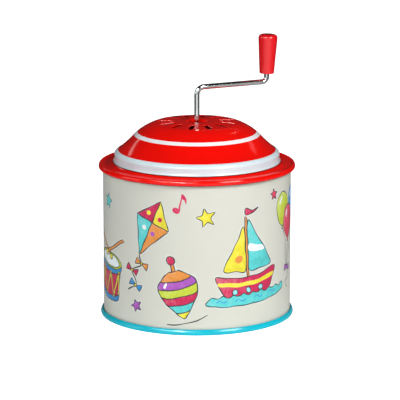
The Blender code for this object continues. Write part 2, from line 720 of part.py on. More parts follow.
def knob(red, axis):
    """Tapered handle, with a bore that widens where the wire's head turns."""
    bore = WIRE_RADIUS + RUN_GAP
    chamber = PIN_HEAD_RADIUS + 2 * RUN_GAP
    chamber_z = KNOB_BORE_DEPTH - PIN_HEAD_LENGTH - 2 * SEAT_GAP
    outline = [(bore, 0), (KNOB_FOOT_RADIUS - KNOB_FOOT_EDGE, 0), (KNOB_FOOT_RADIUS, KNOB_FOOT_EDGE)]
    edge_steps = 4
    for step in range(edge_steps + 1):
        angle = pi / 2 * step / edge_steps
        outline.append((KNOB_TOP_RADIUS - KNOB_TOP_EDGE * (1 - cos(angle)),
                        KNOB_LENGTH - KNOB_TOP_EDGE * (1 - sin(angle))))
    outline += [(0, KNOB_LENGTH), (0, KNOB_BORE_DEPTH), (chamber, KNOB_BORE_DEPTH)]
    outline += [(chamber, chamber_z), (bore, chamber_z)]
    return turned("knob", outline, red, SHAFT_SIDES, parent=axis)


def comb(steel):
    """Comb with its teeth pointing up at the cylinder, the bass teeth at the left."""
    slope = (BASS_LENGTH - TREBLE_LENGTH) / (COMB_RIGHT - COMB_LEFT)
    bass_root = TIP_Z - BASS_LENGTH
    base = [(COMB_LEFT, COMB_FOOT_Z), (COMB_RIGHT, COMB_FOOT_Z), (COMB_RIGHT, TIP_Z - TREBLE_LENGTH),
            (COMB_LEFT, bass_root)]
    made = prism("comb", base, COMB_FRONT, COMB_BACK, "Y", steel)
    bm = bmesh.new()
    for index in range(COMB_TEETH):
        x = FIRST_TOOTH_X + index * TOOTH_PITCH
        root = bass_root + slope * (x - COMB_LEFT) - TOOTH_ROOT
        place = Matrix.Translation((x, ARBOR_Y, (root + TIP_Z) / 2))
        stretch = Matrix.Diagonal((TOOTH_WIDTH, TOOTH_THICKNESS, TIP_Z - root, 1.0))
        bmesh.ops.create_cube(bm, size=1.0, matrix=place @ stretch)
    combine(made, "UNION", finished("comb_teeth", bm, None))
    for side, x in comb_screws():
        outline = circle((x, COMB_SCREW_Z), SCREW_RADIUS + SCREW_CLEARANCE, SMALL_SIDES)
        cutter = prism(f"comb_hole_{side}", outline, COMB_FRONT - TIN, COMB_BACK + TIN, "Y")
        combine(made, "DIFFERENCE", cutter)
    return made


def comb_screws():
    return (("left", COMB_LEFT + COMB_SCREW_INSET), ("right", COMB_RIGHT - COMB_SCREW_INSET))


def bass_weights(lead):
    front = ARBOR_Y + TOOTH_THICKNESS / 2 + SOLDER
    for index in range(WEIGHT_COUNT):
        x = FIRST_TOOTH_X + index * TOOTH_PITCH
        top = TIP_Z - WEIGHT_BELOW_TIP
        low = top - WEIGHT_LENGTH + index * WEIGHT_TAPER
        outline = rectangle(x - TOOTH_WIDTH / 2, x + TOOTH_WIDTH / 2, low, top)
        prism(f"bass_weight_{index + 1}", outline, front, front + WEIGHT_DEPTH, "Y", lead)


def bedplate(zinc):
    left = LEFT_EAR_X - EAR_WIDTH / 2 - PLATE_MARGIN
    right = RIGHT_CHEEK_X + CHEEK_THICKNESS + CAST_STEP
    foot = COMB_FOOT_Z - PLATE_MARGIN
    back = PLATE_FRONT + OVERLAP
    top = EAR_TOP - CAST_STEP
    plate = [(left, foot), (right, foot), (right, ARBOR_Z + CHEEK_RADIUS + PLATE_MARGIN),
             (RIGHT_EAR_X + EAR_WIDTH / 2 + CAST_STEP, top), (left, top)]
    made = prism("bedplate", plate, PLATE_FRONT, PLATE_BACK, "Y", zinc)
    slant = [
        (COMB_LEFT, COMB_FOOT_Z),
        (COMB_RIGHT, COMB_FOOT_Z),
        (COMB_RIGHT, TIP_Z - TREBLE_LENGTH - TOOTH_ROOT),
        (COMB_LEFT, TIP_Z - BASS_LENGTH - TOOTH_ROOT),
    ]
    combine(made, "UNION", prism("comb_rail", slant, COMB_BACK + SEAT_GAP, back, "Y"))
    for side, low in (("left", LEFT_CHEEK_X - CHEEK_THICKNESS), ("right", RIGHT_CHEEK_X)):
        nose = half_circle(pi / 2, CHEEK_RADIUS, 2 * WIDE_ARC_STEPS)
        cheek = [(ARBOR_Y + u, ARBOR_Z + v) for u, v in nose]
        cheek += [(back, ARBOR_Z - CHEEK_RADIUS), (back, ARBOR_Z + CHEEK_RADIUS)]
        combine(made, "UNION", prism(f"cheek_{side}", cheek, low, low + CHEEK_THICKNESS, "X"))
    for side, x in (("left", LEFT_EAR_X), ("right", RIGHT_EAR_X)):
        ear = rectangle(x - EAR_WIDTH / 2, x + EAR_WIDTH / 2, STRAP_SCREW_Y - EAR_SCREW_INSET, back)
        combine(made, "UNION", prism(f"ear_{side}", ear, EAR_TOP - EAR_THICKNESS, EAR_TOP, "Z"))
    arm = rectangle(-LUG_ARM_LEFT, LUG_ARM_RIGHT, 0, back)
    combine(made, "UNION", prism("lug_arm", arm, LUG_UNDER + CAST_STEP, LUG_TOP - CAST_STEP, "Z"))
    boss = circle((0, 0), LUG_RADIUS, SHAFT_SIDES)
    combine(made, "UNION", prism("lug_boss", boss, LUG_UNDER, LUG_TOP, "Z"))
    bedplate_holes(made, left - TIN, right + TIN)
    return made


def bedplate_holes(made, left, right):
    lug_bore = circle((0, 0), JOURNAL_RADIUS + RUN_GAP + BUSH_WALL + SEAT_GAP, SHAFT_SIDES)
    combine(made, "DIFFERENCE", prism("lug_bore", lug_bore, LUG_UNDER - TIN, LUG_TOP + TIN, "Z"))
    arbor_bore = circle((ARBOR_Y, ARBOR_Z), ARBOR_RADIUS + RUN_GAP, SMALL_SIDES)
    combine(made, "DIFFERENCE", prism("arbor_bore", arbor_bore, left, right, "X"))
    tapped = SCREW_RADIUS + THREAD_CLEARANCE
    for side, x in comb_screws():
        outline = circle((x, COMB_SCREW_Z), tapped, SMALL_SIDES)
        depth = COMB_BACK + SEAT_GAP + SCREW_BITE + SEAT_GAP
        combine(made, "DIFFERENCE", prism(f"rail_hole_{side}", outline, COMB_BACK, depth, "Y"))
    for side, x in (("left", LEFT_EAR_X), ("right", RIGHT_EAR_X)):
        outline = circle((x, STRAP_SCREW_Y), tapped, SMALL_SIDES)
        cutter = prism(f"ear_hole_{side}", outline, EAR_TOP - EAR_THICKNESS - TIN, EAR_TOP + TIN, "Z")
        combine(made, "DIFFERENCE", cutter)


def screw(name, steel, reach, location, rotation=(0, 0, 0)):
    """Slotted pan-head screw pointing down local Z, with its origin under the head."""
    outline = [
        (0, -reach),
        (SCREW_RADIUS, -reach),
        (SCREW_RADIUS, 0),
        (SCREW_HEAD_RADIUS, 0),
        (SCREW_HEAD_RADIUS, SCREW_HEAD_HEIGHT - SCREW_SLOT_DEPTH / 2),
        (SCREW_HEAD_RADIUS - SCREW_SLOT_DEPTH / 2, SCREW_HEAD_HEIGHT),
        (0, SCREW_HEAD_HEIGHT),
    ]
    made = turned(name, outline, steel, SMALL_SIDES, location=location, rotation=rotation)
    half = SCREW_SLOT_WIDTH / 2
    slot = rectangle(-SCREW_HEAD_RADIUS - TIN, SCREW_HEAD_RADIUS + TIN, -half, half)
    cutter = prism(f"{name}_slot", slot, SCREW_HEAD_HEIGHT - SCREW_SLOT_DEPTH, SCREW_HEAD_HEIGHT + TIN, "Z",
                   location=location, rotation=rotation)
    combine(made, "DIFFERENCE", cutter)
    return made


def build():
    clear_scene()
    printed_tin = paint("printed_tin", (0.80, 0.78, 0.70), 0.35, 0.0)
    red_tin = paint("red_tin", (0.78, 0.02, 0.015), 0.2, 0.0)
    blue_tin = paint("blue_tin", (0.08, 0.50, 0.72), 0.25, 0.0)
    red_plastic = paint("red_plastic", (0.80, 0.02, 0.03), 0.25, 0.0)
    chrome = paint("chrome_wire", (0.85, 0.85, 0.87), 0.12, 1.0)
    steel = paint("steel", (0.62, 0.63, 0.65), 0.3, 1.0)
    brass = paint("brass", (0.80, 0.62, 0.28), 0.3, 1.0)
    zinc = paint("zinc_casting", (0.55, 0.56, 0.58), 0.45, 1.0)
    lead = paint("lead", (0.30, 0.31, 0.34), 0.6, 1.0)

    can_wall(printed_tin)
    lid(red_tin)
    base_pan(blue_tin)
    carrier_strap(steel)
    bush("upper_bush", brass, SHAFT_RADIUS, STRAP_TOP + SEAT_GAP, STRAP_THICKNESS + BUSH_TAIL)
    bush("lower_bush", brass, JOURNAL_RADIUS, LOWER_FLANGE_Z, LUG_THICKNESS + 2 * SEAT_GAP)
    bedplate(zinc)
    for side, x in (("left", LEFT_EAR_X), ("right", RIGHT_EAR_X)):
        reach = SEAT_GAP + STRAP_THICKNESS + SEAT_GAP + EAR_THICKNESS
        screw(f"strap_screw_{side}", steel, reach, (x, STRAP_SCREW_Y, STRAP_TOP + SEAT_GAP))
    comb(steel)
    bass_weights(lead)
    for side, x in comb_screws():
        reach = SEAT_GAP + COMB_THICKNESS + SEAT_GAP + SCREW_BITE
        place = (x, COMB_FRONT - SEAT_GAP, COMB_SCREW_Z)
        screw(f"comb_screw_{side}", steel, reach, place, (pi / 2, 0, 0))

    crank_axis = empty("crank_axis", rotation=(0, 0, ARM_AZIMUTH))
    worm_shaft(brass, crank_axis)
    crank(chrome, crank_axis)
    thrust_washer(brass, crank_axis)
    clip("shaft_clip", JOURNAL_RADIUS, SHAFT_CLIP_Z, steel, crank_axis)
    knob_x, knob_z = pin_point(KNOB_ABOVE_ARM)
    knob_axis = empty("knob_axis", (knob_x, 0, knob_z), (0, PIN_LEAN, 0), crank_axis)
    knob(red_plastic, knob_axis)

    # Local Z of this axis runs along +X, and local X points down at the comb
    cylinder_axis = empty("cylinder_axis", (0, ARBOR_Y, ARBOR_Z), (0, pi / 2, 0))
    worm_wheel(brass, cylinder_axis)
    music_cylinder(brass, cylinder_axis)
    cylinder_cap(brass, cylinder_axis)
    cylinder_arbor(steel, cylinder_axis)
    clip("arbor_clip", ARBOR_RADIUS, arbor_clip_place(), steel, cylinder_axis)


build()
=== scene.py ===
"""Looks of the hand-cranked music box: fine tin pieces, a printed wall, lacquers, chrome and a pale
studio.

Lengths are in millimetres in this script, and meshes are scaled to metres when they are made.
"""
import json
from math import asin, atan2, ceil, cos, hypot, pi, radians, sin, tan

import bmesh
import bpy
import numpy as np
from mathutils import Matrix, Vector
from mathutils.geometry import delaunay_2d_cdt


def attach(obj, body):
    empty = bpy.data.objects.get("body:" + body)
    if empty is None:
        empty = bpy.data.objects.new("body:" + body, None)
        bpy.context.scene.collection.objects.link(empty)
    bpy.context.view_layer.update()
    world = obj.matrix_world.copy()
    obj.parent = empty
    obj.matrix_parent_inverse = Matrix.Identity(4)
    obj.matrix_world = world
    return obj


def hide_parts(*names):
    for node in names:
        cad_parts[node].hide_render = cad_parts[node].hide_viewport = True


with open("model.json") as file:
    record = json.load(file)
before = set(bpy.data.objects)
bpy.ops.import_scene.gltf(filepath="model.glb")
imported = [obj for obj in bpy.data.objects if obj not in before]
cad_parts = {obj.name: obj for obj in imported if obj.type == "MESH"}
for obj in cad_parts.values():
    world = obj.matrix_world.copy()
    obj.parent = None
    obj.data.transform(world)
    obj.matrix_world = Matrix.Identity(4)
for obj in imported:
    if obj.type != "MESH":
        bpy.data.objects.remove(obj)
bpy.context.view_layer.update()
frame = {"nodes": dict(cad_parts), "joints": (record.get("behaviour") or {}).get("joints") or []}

MM = 0.001

# The photograph's camera
CAMERA_DISTANCE = 1000.0
CAMERA_HEIGHT_ANGLE = radians(11.99)
CAMERA_TARGET_Z = 50.0
CAMERA_AIM = (1.2, 0.0, 44.6)
CAMERA_LENS = 231.3
SENSOR_WIDTH = 36

# Sizes that the pieces share with the solids
TIN = 0.3
WALL_RADIUS = 36.5
TOP_FLANGE = 37.2
FOOT_FLANGE = 37.1
RIM_Z = 58.6
LID_TOP = 75.95
SHAFT_HOLE = 2.4
HOLE_FOOT_Z = 74.8
DIMPLE_Z = 75.2
DIMPLE_FLOOR_RADIUS = 3.75
DIMPLE_RADIUS = 4.25
DOME_RADIUS = 16.5
SHOULDER_RADIUS = 24.35
SKIRT_RADIUS = 30.6
BEAD_RADIUS = 32.05
HEM_CENTRE = 37.35
HEM_RADIUS = 0.85
HEM_CREST = 1.35
HEM_TUCK = 0.45
SLOT_COUNT = 12
SLOT_TURNS = [radians(-70) + 2 * pi * index / SLOT_COUNT for index in range(SLOT_COUNT)]
SLOT_INNER = 8.8
SLOT_OUTER = 15.3
SLOT_WIDTH = 1.7
SLOT_END = SLOT_WIDTH / 2
ARM_AZIMUTH = radians(26.5)
ARM_Z = 89.1
WIRE_RADIUS = 1.02
CRANK_REACH = 30.35
PIN_LEAN = radians(2)
PIN_HEAD_RADIUS = 1.3
PIN_HEAD_HEIGHTS = (12.6, 13.95)
KNOB_LENGTH = 15.4
KNOB_FOOT_RADIUS = 2.85
KNOB_TOP_RADIUS = 3.75
KNOB_EDGE = 1.4
KNOB_BORE = 1.12
HEAD_ROOM_RADIUS = 1.5
HEAD_ROOM_HEIGHTS = (8.8, 11.0)

# The arcs of the lid's line: where each ends, how far it bulges and its steps
LID_ARCS = (
    ((DOME_RADIUS, 75.35), 0.15, 12),
    ((SHOULDER_RADIUS, 70.68), 0.5, 16),
    ((SKIRT_RADIUS, 64.83), -0.2, 8),
    ((BEAD_RADIUS, 63.35), 0.3, 8),
    ((BEAD_RADIUS, 61.4), -0.12, 4),
)
GUTTER_ARC = ((BEAD_RADIUS + 0.25, 60.8), (36.3, 59.3), -0.62, 8)

# Borders of the lid's paint, and of the painted shade in the crease at the bead's foot
STRIPE_INNER = 23.03
BEAD_FOOT_Z = 60.64
CREASE_SHADE_Z = 60.33
CREASE_SHADE_RADII = (SKIRT_RADIUS + 1, 34)
BORDER_SLACK = 0.02

# How fine the meshes are
LID_SIDES = 192
WALL_COLUMNS = 192
KNOB_SIDES = 64
KNOB_EDGE_STEPS = 8
WIRE_SIDES = 32
CURVE_STEPS = 12
LINE_SPACING = 0.05
SLOT_SPACING = 0.3
SOFT_REACH = 0.14
THINNING_TURN = radians(5)
SHARP_TURN = radians(50)
LID_SHARP_TURN = radians(60)
WELD = 0.002
AXIS_RADIUS = 0.01

# The bottom's line: panel, wall of its recess, foot and seam
BASE_LINE = (
    (AXIS_RADIUS, 2.6), (12.0, 2.6), (24.0, 2.6), (24.8, 2.2), (35.05, 2.2), (35.6, 1.65), (35.6, 0.3),
    (36.0, 0.0), (37.0, 0.0), (37.5, 0.16), (37.72, 0.75), (37.55, 1.45), (37.2, 2.1), (36.95, 2.3),
)


def linear(red, green, blue):
    """Linear colour from the 0 to 255 values of a screen colour."""
    made = []
    for value in (red, green, blue):
        share = value / 255
        made.append(share / 12.92 if share <= 0.04045 else ((share + 0.055) / 1.055) ** 2.4)
    return (*made, 1.0)


# Lines

def arc(start, end, bulge, steps):
    """Points of a round arc from start to end, bulging to the left of the way it runs."""
    start, end = Vector(start), Vector(end)
    chord = end - start
    left = Vector((-chord.y, chord.x)).normalized()
    radius = (chord.length_squared / 4 + bulge * bulge) / (2 * bulge)
    centre = (start + end) / 2 + left * (bulge - radius)
    half_angle = asin(chord.length / 2 / radius)
    arm = start - centre
    arms = [Matrix.Rotation(-2 * half_angle * step / steps, 2) @ arm for step in range(steps + 1)]
    return [tuple(centre + turned) for turned in arms]


def resampled(line, spacing, closed=False):
    points = np.array(line, float)
    if closed:
        points = np.vstack([points, points[:1]])
    lengths = np.r_[0, np.cumsum(np.hypot(*np.diff(points, axis=0).T))]
    count = max(2, int(ceil(lengths[-1] / spacing)))
    places = np.linspace(0, lengths[-1], count + 1)
    if closed:
        places = places[:-1]
    return np.c_[np.interp(places, lengths, points[:, 0]), np.interp(places, lengths, points[:, 1])]


def softened(line, closed=False):
    """Rounds a line's corners a little."""
    points = resampled(line, LINE_SPACING, closed)
    half = int(3 * SOFT_REACH / LINE_SPACING)
    weights = np.exp(-0.5 * (np.arange(-half, half + 1) * LINE_SPACING / SOFT_REACH) ** 2)
    weights /= weights.sum()
    if closed:
        padded = np.vstack([points[-half:], points, points[:half]])
    else:
        before = 2 * points[0] - points[half:0:-1]
        after = 2 * points[-1] - points[-2:-half - 2:-1]
        padded = np.vstack([before, points, after])
    return np.c_[[np.convolve(padded[:, k], weights, "valid") for k in (0, 1)]].T


def thinned(points, longest=1.6, keep=()):
    """Drops the points of a dense line that its shape doesn't need."""
    kept = [0]
    heading = None
    for index in range(1, len(points) - 1):
        step = points[index + 1] - points[index]
        angle = atan2(step[1], step[0])
        if heading is None:
            heading = angle
        change = abs((angle - heading + pi) % (2 * pi) - pi)
        far = hypot(*(points[index] - points[kept[-1]]))
        if change > THINNING_TURN or far > longest or index in keep:
            kept.append(index)
            heading = angle
    kept.append(len(points) - 1)
    return points[kept]


def offset_line(line, distance):
    """The line moved to the right of the way it runs."""
    points = np.array(line, float)
    ways = np.gradient(points, axis=0)
    ways /= np.hypot(ways[:, 0], ways[:, 1])[:, None]
    return points + distance * np.c_[ways[:, 1], -ways[:, 0]]


def loop_edges(first, count):
    """The edges that join a run of points into a ring."""
    return [(first + k, first + (k + 1) % count) for k in range(count)]


def cut_plane(points, edges, nearest):
    """Points and triangles of a plane that is cut along its edges, and the triangles' middles."""
    points = [Vector(point) for point in points]
    flat, _, triangles, *_ = delaunay_2d_cdt(points, edges, [], 0, nearest, False)
    flat = np.array([tuple(point) for point in flat])
    triangles = np.array([tuple(triangle) for triangle in triangles])
    return flat, triangles, flat[triangles].mean(axis=1)


# Objects

def placed(name, data):
    made = bpy.data.objects.new(name, data)
    bpy.context.scene.collection.objects.link(made)
    return made


def piece(name, points, faces, materials):
    mesh = bpy.data.meshes.new(name)
    mesh.from_pydata([tuple(MM * value for value in point) for point in points], [], faces)
    for material in materials:
        mesh.materials.append(material)
    mesh.update()
    return placed(name, mesh)


def smooth_shaded(mesh, sharp):
    """Shades a mesh smoothly, but not over edges that turn by more than this angle."""
    mesh.shade_smooth()
    mesh.set_sharp_from_angle(angle=sharp)


def closed_up(obj):
    """Welds a piece's seams, turns all its faces outward and shades it smoothly."""
    bm = bmesh.new()
    bm.from_mesh(obj.data)
    bmesh.ops.remove_doubles(bm, verts=bm.verts, dist=WELD * MM)
    bmesh.ops.recalc_face_normals(bm, faces=bm.faces)
    bm.to_mesh(obj.data)
    bm.free()
    smooth_shaded(obj.data, SHARP_TURN)


def even_shading(obj):
    """Closes a piece up and gives its large faces most say in its shading."""
    closed_up(obj)
    step = obj.modifiers.new("even_shading", "WEIGHTED_NORMAL")
    step.keep_sharp = True
    step.weight = 60
    return obj


def ring_grid(line, sides, closed=False):
    """Points and faces of a line of (radius, height) turned about the Z axis."""
    points = []
    for radius, height in line:
        for side in range(sides):
            angle = 2 * pi * side / sides
            points.append((radius * cos(angle), radius * sin(angle), height))
    faces = []
    rows = len(line) if closed else len(line) - 1
    for row in range(rows):
        here = row * sides
        there = (row + 1) % len(line) * sides
        for side in range(sides):
            after = (side + 1) % sides
            faces.append((here + side, there + side, there + after, here + after))
    return points, faces


def turned_piece(name, line, sides, material):
    """A closed line turned about the Z axis."""
    points, faces = ring_grid(line, sides, True)
    return even_shading(piece(name, points, faces, [material]))


def tube(name, path, radii, sides, material):
    """A round bar along a path of points, with flat caps at its ends."""
    path = [Vector(point) for point in path]
    stations = [path[0], *path, path[-1]]
    ways = [(after - before).normalized() for before, after in zip(stations, stations[2:])]
    side_way = Vector((-sin(ARM_AZIMUTH), cos(ARM_AZIMUTH), 0))
    points = []
    for centre, way, radius in zip(path, ways, radii):
        up = side_way.cross(way).normalized()
        for side in range(sides):
            angle = 2 * pi * side / sides
            points.append(centre + radius * (cos(angle) * side_way + sin(angle) * up))
    faces = []
    for row in range(len(path) - 1):
        for side in range(sides):
            after = (side + 1) % sides
            faces.append((row * sides + side, row * sides + after,
                          (row + 1) * sides + after, (row + 1) * sides + side))
    faces.append(tuple(range(sides)))
    faces.append(tuple(range((len(path) - 1) * sides, len(path) * sides)))
    return even_shading(piece(name, points, faces, [material]))


# Materials

COAT_ROUGHNESS = 0.05
LACQUER_IOR = 1.45
GRAIN_CONTRAST = 0.12


class Nodes:
    """A node tree, and short ways to add nodes to it."""

    def __init__(self, tree):
        self.tree = tree

    def feed(self, socket, value):
        """Sets a socket to a constant, or links an output to it."""
        if isinstance(value, (int, float, tuple)):
            socket.default_value = value
        else:
            self.tree.links.new(value, socket)

    def node(self, kind, sockets=None, **settings):
        """A new shader node, with its settings and with what its sockets are fed."""
        made = self.tree.nodes.new("ShaderNode" + kind)
        for key, value in settings.items():
            setattr(made, key, value)
        for socket, value in (sockets or {}).items():
            self.feed(made.inputs[socket], value)
        return made

    def split(self, vector):
        return self.node("SeparateXYZ", {"Vector": vector}).outputs

    def uv(self, name):
        return self.node("UVMap", uv_map=name).outputs["UV"]

    def noise(self, scale, detail=3.0, stretch=(1, 1, 1), turn=(0, 0, 0), uv=None):
        source = self.uv(uv) if uv else self.node("TexCoord").outputs["Object"]
        place = self.node("Mapping", {"Vector": source, "Scale": stretch, "Rotation": turn}).outputs["Vector"]
        return self.node("TexNoise", {"Vector": place, "Scale": scale, "Detail": detail}).outputs["Fac"]

    def ranged(self, value, low, high, from_low=0.3, from_high=0.7):
        sockets = {"Value": value, "From Min": from_low, "From Max": from_high, "To Min": low, "To Max": high}
        return self.node("MapRange", sockets).outputs["Result"]

    def math(self, operation, *values):
        return self.node("Math", dict(enumerate(values)), operation=operation).outputs["Value"]

    def blend(self, factor, first, second):
        return self.node("Mix", {0: factor, 6: first, 7: second}, data_type="RGBA").outputs[2]

    def mottled(self, cloud, dark, light):
        """A colour that a noise takes from dark to light."""
        return self.blend(self.ranged(cloud, 0.0, 1.0), dark, light)

    def scaled(self, colour, factor):
        return self.node("VectorMath", {0: colour, "Scale": factor}, operation="SCALE").outputs["Vector"]


class Finish(Nodes):
    """A material with its shader."""

    def __init__(self, name, colour, roughness, metallic=0.0, coat=0.0):
        self.material = bpy.data.materials.new(name)
        self.material.use_nodes = True
        super().__init__(self.material.node_tree)
        self.shader = self.tree.nodes["Principled BSDF"]
        for socket, value in (("Base Color", colour), ("Roughness", roughness), ("Metallic", metallic),
                              ("Coat Weight", coat), ("Coat Roughness", COAT_ROUGHNESS)):
            self.shade(socket, value)

    def shade(self, socket, value):
        self.feed(self.shader.inputs[socket], value)

    def bump(self, height, distance, strength):
        sockets = {"Height": height, "Distance": distance * MM, "Strength": strength}
        self.shade("Normal", self.node("Bump", sockets).outputs["Normal"])


def darker(colour, share):
    return (*(value * share for value in colour[:3]), 1.0)


def lacquer(name, colour, roughness):
    """Gloss paint on tin: a slightly uneven coat with faint flow marks."""
    made = Finish(name, colour, roughness)
    made.shade("IOR", LACQUER_IOR)
    made.shade("Base Color", made.mottled(made.noise(90), darker(colour, 0.93), colour))
    made.shade("Roughness", made.ranged(made.noise(700, 2), roughness - 0.03, roughness + 0.05))
    made.bump(made.noise(350, 2), 0.01, 0.25)
    return made.material


def metal(name, colour, roughness, stretch=(1, 1, 1), scale=2500):
    """Plain metal with a fine grain."""
    made = Finish(name, colour, roughness, metallic=1.0)
    grain = made.noise(scale, 4, stretch)
    made.shade("Base Color", made.mottled(grain, darker(colour, 1 - 2 * GRAIN_CONTRAST), colour))
    dull = made.noise(scale / 4, 3, stretch)
    made.shade("Roughness", made.ranged(dull, roughness * 0.7, roughness * 1.4))
    made.bump(grain, 0.01, 0.4)
    return made.material


def chrome_plate():
    made = Finish("chrome", linear(226, 230, 228), 0.05, metallic=1.0)
    made.shade("Base Color", made.mottled(made.noise(300, 2), linear(214, 220, 217), linear(236, 238, 237)))
    made.shade("Roughness", made.ranged(made.noise(1500), 0.03, 0.08))
    made.bump(made.noise(260, 2), 0.004, 0.2)
    return made.material


def knob_plastic():
    red = linear(228, 14, 28)
    made = Finish("red_moulding", red, 0.3, coat=1.0)
    made.shade("Specular IOR Level", 0.2)
    made.shade("Coat IOR", 1.5)
    made.shade("Base Color", made.mottled(made.noise(160, 3, (1, 1, 0.3)), linear(218, 9, 20), red))
    made.shade("Roughness", made.ranged(made.noise(600, 2), 0.2, 0.27))
    made.bump(made.noise(420, 2), 0.008, 0.2)
    return made.material


RED = linear(243, 15, 7)

# The lid's paints: its ground, the stripe, the bead (its white made darker and bluer as painted shade on its
# face), a near-black painted shade in the crease and a dark crimson painted shade under the hem
lid_paints = [lacquer(name, colour, roughness) for name, colour, roughness in (
    ("red_lacquer", RED, 0.1),
    ("white_lacquer", linear(246, 245, 248), 0.2),
    # The bead's white is a darker, bluer copy of the stripe's white: painted shade on the bead's upright
    # face.
    ("bead_white_painted_shade", linear(220, 237, 243), 0.2),
    # A near-black red: painted shade in the crease at the bead's foot
    ("crease_painted_shade", darker(RED, 0.12), 0.3),
    # A dark crimson: painted shade on the hem's underside
    ("hem_underside_painted_shade", linear(150, 6, 22), 0.25),
)]
blue_lacquer = lacquer("blue_lacquer", linear(22, 186, 206), 0.18)
chrome = chrome_plate()
moulding = knob_plastic()
brass = metal("brass", linear(214, 178, 96), 0.28, (1, 1, 0.2))
steel = metal("steel", linear(196, 198, 202), 0.3, (0.2, 1, 1))
zinc = metal("zinc_casting", linear(168, 170, 174), 0.5, scale=1200)
lead = metal("lead", linear(120, 122, 128), 0.6, scale=1500)

INSIDE = (
    (steel, ("carrier_strap", "strap_screw_left", "strap_screw_right", "comb", "comb_screw_left",
             "comb_screw_right", "shaft_clip", "cylinder_arbor", "arbor_clip")),
    (brass, ("upper_bush", "lower_bush", "worm_shaft", "thrust_washer", "worm_wheel", "music_cylinder",
             "cylinder_cap")),
    (zinc, ("bedplate",)),
    (lead, [f"bass_weight_{index + 1}" for index in range(6)]),
)
for material, names in INSIDE:
    for name in names:
        for slot in frame["nodes"][name].material_slots:
            slot.material = material


# Lid

def lid_profile():
    """The lid's outer line from the shaft hole to the hem, with the borders of the paint and of the painted
    crease shade kept.
    """
    line = [(SHAFT_HOLE, HOLE_FOOT_Z), (SHAFT_HOLE, DIMPLE_Z), (DIMPLE_FLOOR_RADIUS, DIMPLE_Z),
            (DIMPLE_RADIUS, LID_TOP)]
    for end, bulge, steps in LID_ARCS:
        line += arc(line[-1], end, bulge, steps)[1:]
    line += arc(*GUTTER_ARC)
    for step in range(CURVE_STEPS + 1):
        angle = pi / 2 - pi * step / CURVE_STEPS
        rise = HEM_CREST if angle > 0 else HEM_RADIUS
        line.append((HEM_CENTRE + HEM_RADIUS * cos(angle), RIM_Z + rise * sin(angle)))
    line.append((HEM_CENTRE - HEM_TUCK, RIM_Z - HEM_RADIUS))
    dense = softened(line)
    radii, heights = dense.T
    off = [np.abs(radii - border) for border in (STRIPE_INNER, SHOULDER_RADIUS, SKIRT_RADIUS)]
    off += [np.where(radii > SKIRT_RADIUS, np.abs(heights - border), np.inf)
            for border in (BEAD_FOOT_Z, CREASE_SHADE_Z)]
    return thinned(dense, keep=[int(np.argmin(distances)) for distances in off])


def slot_distance(x, y):
    """How far points lie outside the nearest slot's edge, less than nothing inside it."""
    nearest = np.full(np.shape(x), np.inf)
    for turn in SLOT_TURNS:
        along = x * cos(turn) + y * sin(turn)
        across = -x * sin(turn) + y * cos(turn)
        beyond = along - np.clip(along, SLOT_INNER + SLOT_END, SLOT_OUTER - SLOT_END)
        nearest = np.minimum(nearest, np.hypot(beyond, across) - SLOT_END)
    return nearest


def slot_outline(turn, out):
    """A slot's outline in plan, moved outward."""
    line = []
    for place, start in ((SLOT_INNER + SLOT_END, pi / 2), (SLOT_OUTER - SLOT_END, -pi / 2)):
        for step in range(CURVE_STEPS + 1):
            angle = start + pi * step / CURVE_STEPS
            line.append((place + (SLOT_END + out) * cos(angle), (SLOT_END + out) * sin(angle)))
    dense = resampled(line, SLOT_SPACING, closed=True)
    return dense @ np.array([[cos(turn), sin(turn)], [-sin(turn), cos(turn)]])


SLOT_LIP = 0.42
SLOT_LIP_DROP = 0.34
SLOT_LIP_OFFSETS = (0.0, 0.03, 0.1, 0.2, 0.31, SLOT_LIP)
SLOT_ZONE = (7.8, 16.1)
LEVEL_ZONE = (5.8, 19.1)
ZONE_RINGS = 10
ZONE_GAP = 0.2


def slotted_dome(profile):
    """The part of the dome with the sound slots, whose edges are rolled down."""
    inner, outer = SLOT_ZONE
    angles = [2 * pi * side / LID_SIDES for side in range(LID_SIDES)]
    loops = [[(radius * cos(angle), radius * sin(angle)) for angle in angles]
             for radius in np.linspace(inner, outer, ZONE_RINGS)]
    loops += [slot_outline(turn, out) for turn in SLOT_TURNS for out in SLOT_LIP_OFFSETS]
    points, edges = [], []
    for loop in loops:
        edges += loop_edges(len(points), len(loop))
        points.extend(loop)
    flat, triangles, middles = cut_plane(points, edges, 1e-5)
    beyond_hole = np.hypot(middles[:, 0], middles[:, 1]) > inner * cos(pi / LID_SIDES)
    triangles = triangles[(slot_distance(middles[:, 0], middles[:, 1]) > 0) & beyond_hole]
    height = np.interp(np.hypot(flat[:, 0], flat[:, 1]), profile[:, 0], profile[:, 1])
    share = np.clip(slot_distance(flat[:, 0], flat[:, 1]) / SLOT_LIP, 0, 1)
    roll = SLOT_LIP_DROP * (1 - np.sqrt(1 - (1 - share) ** 2))
    solid = np.c_[flat, height - roll]
    return solid, triangles.tolist()


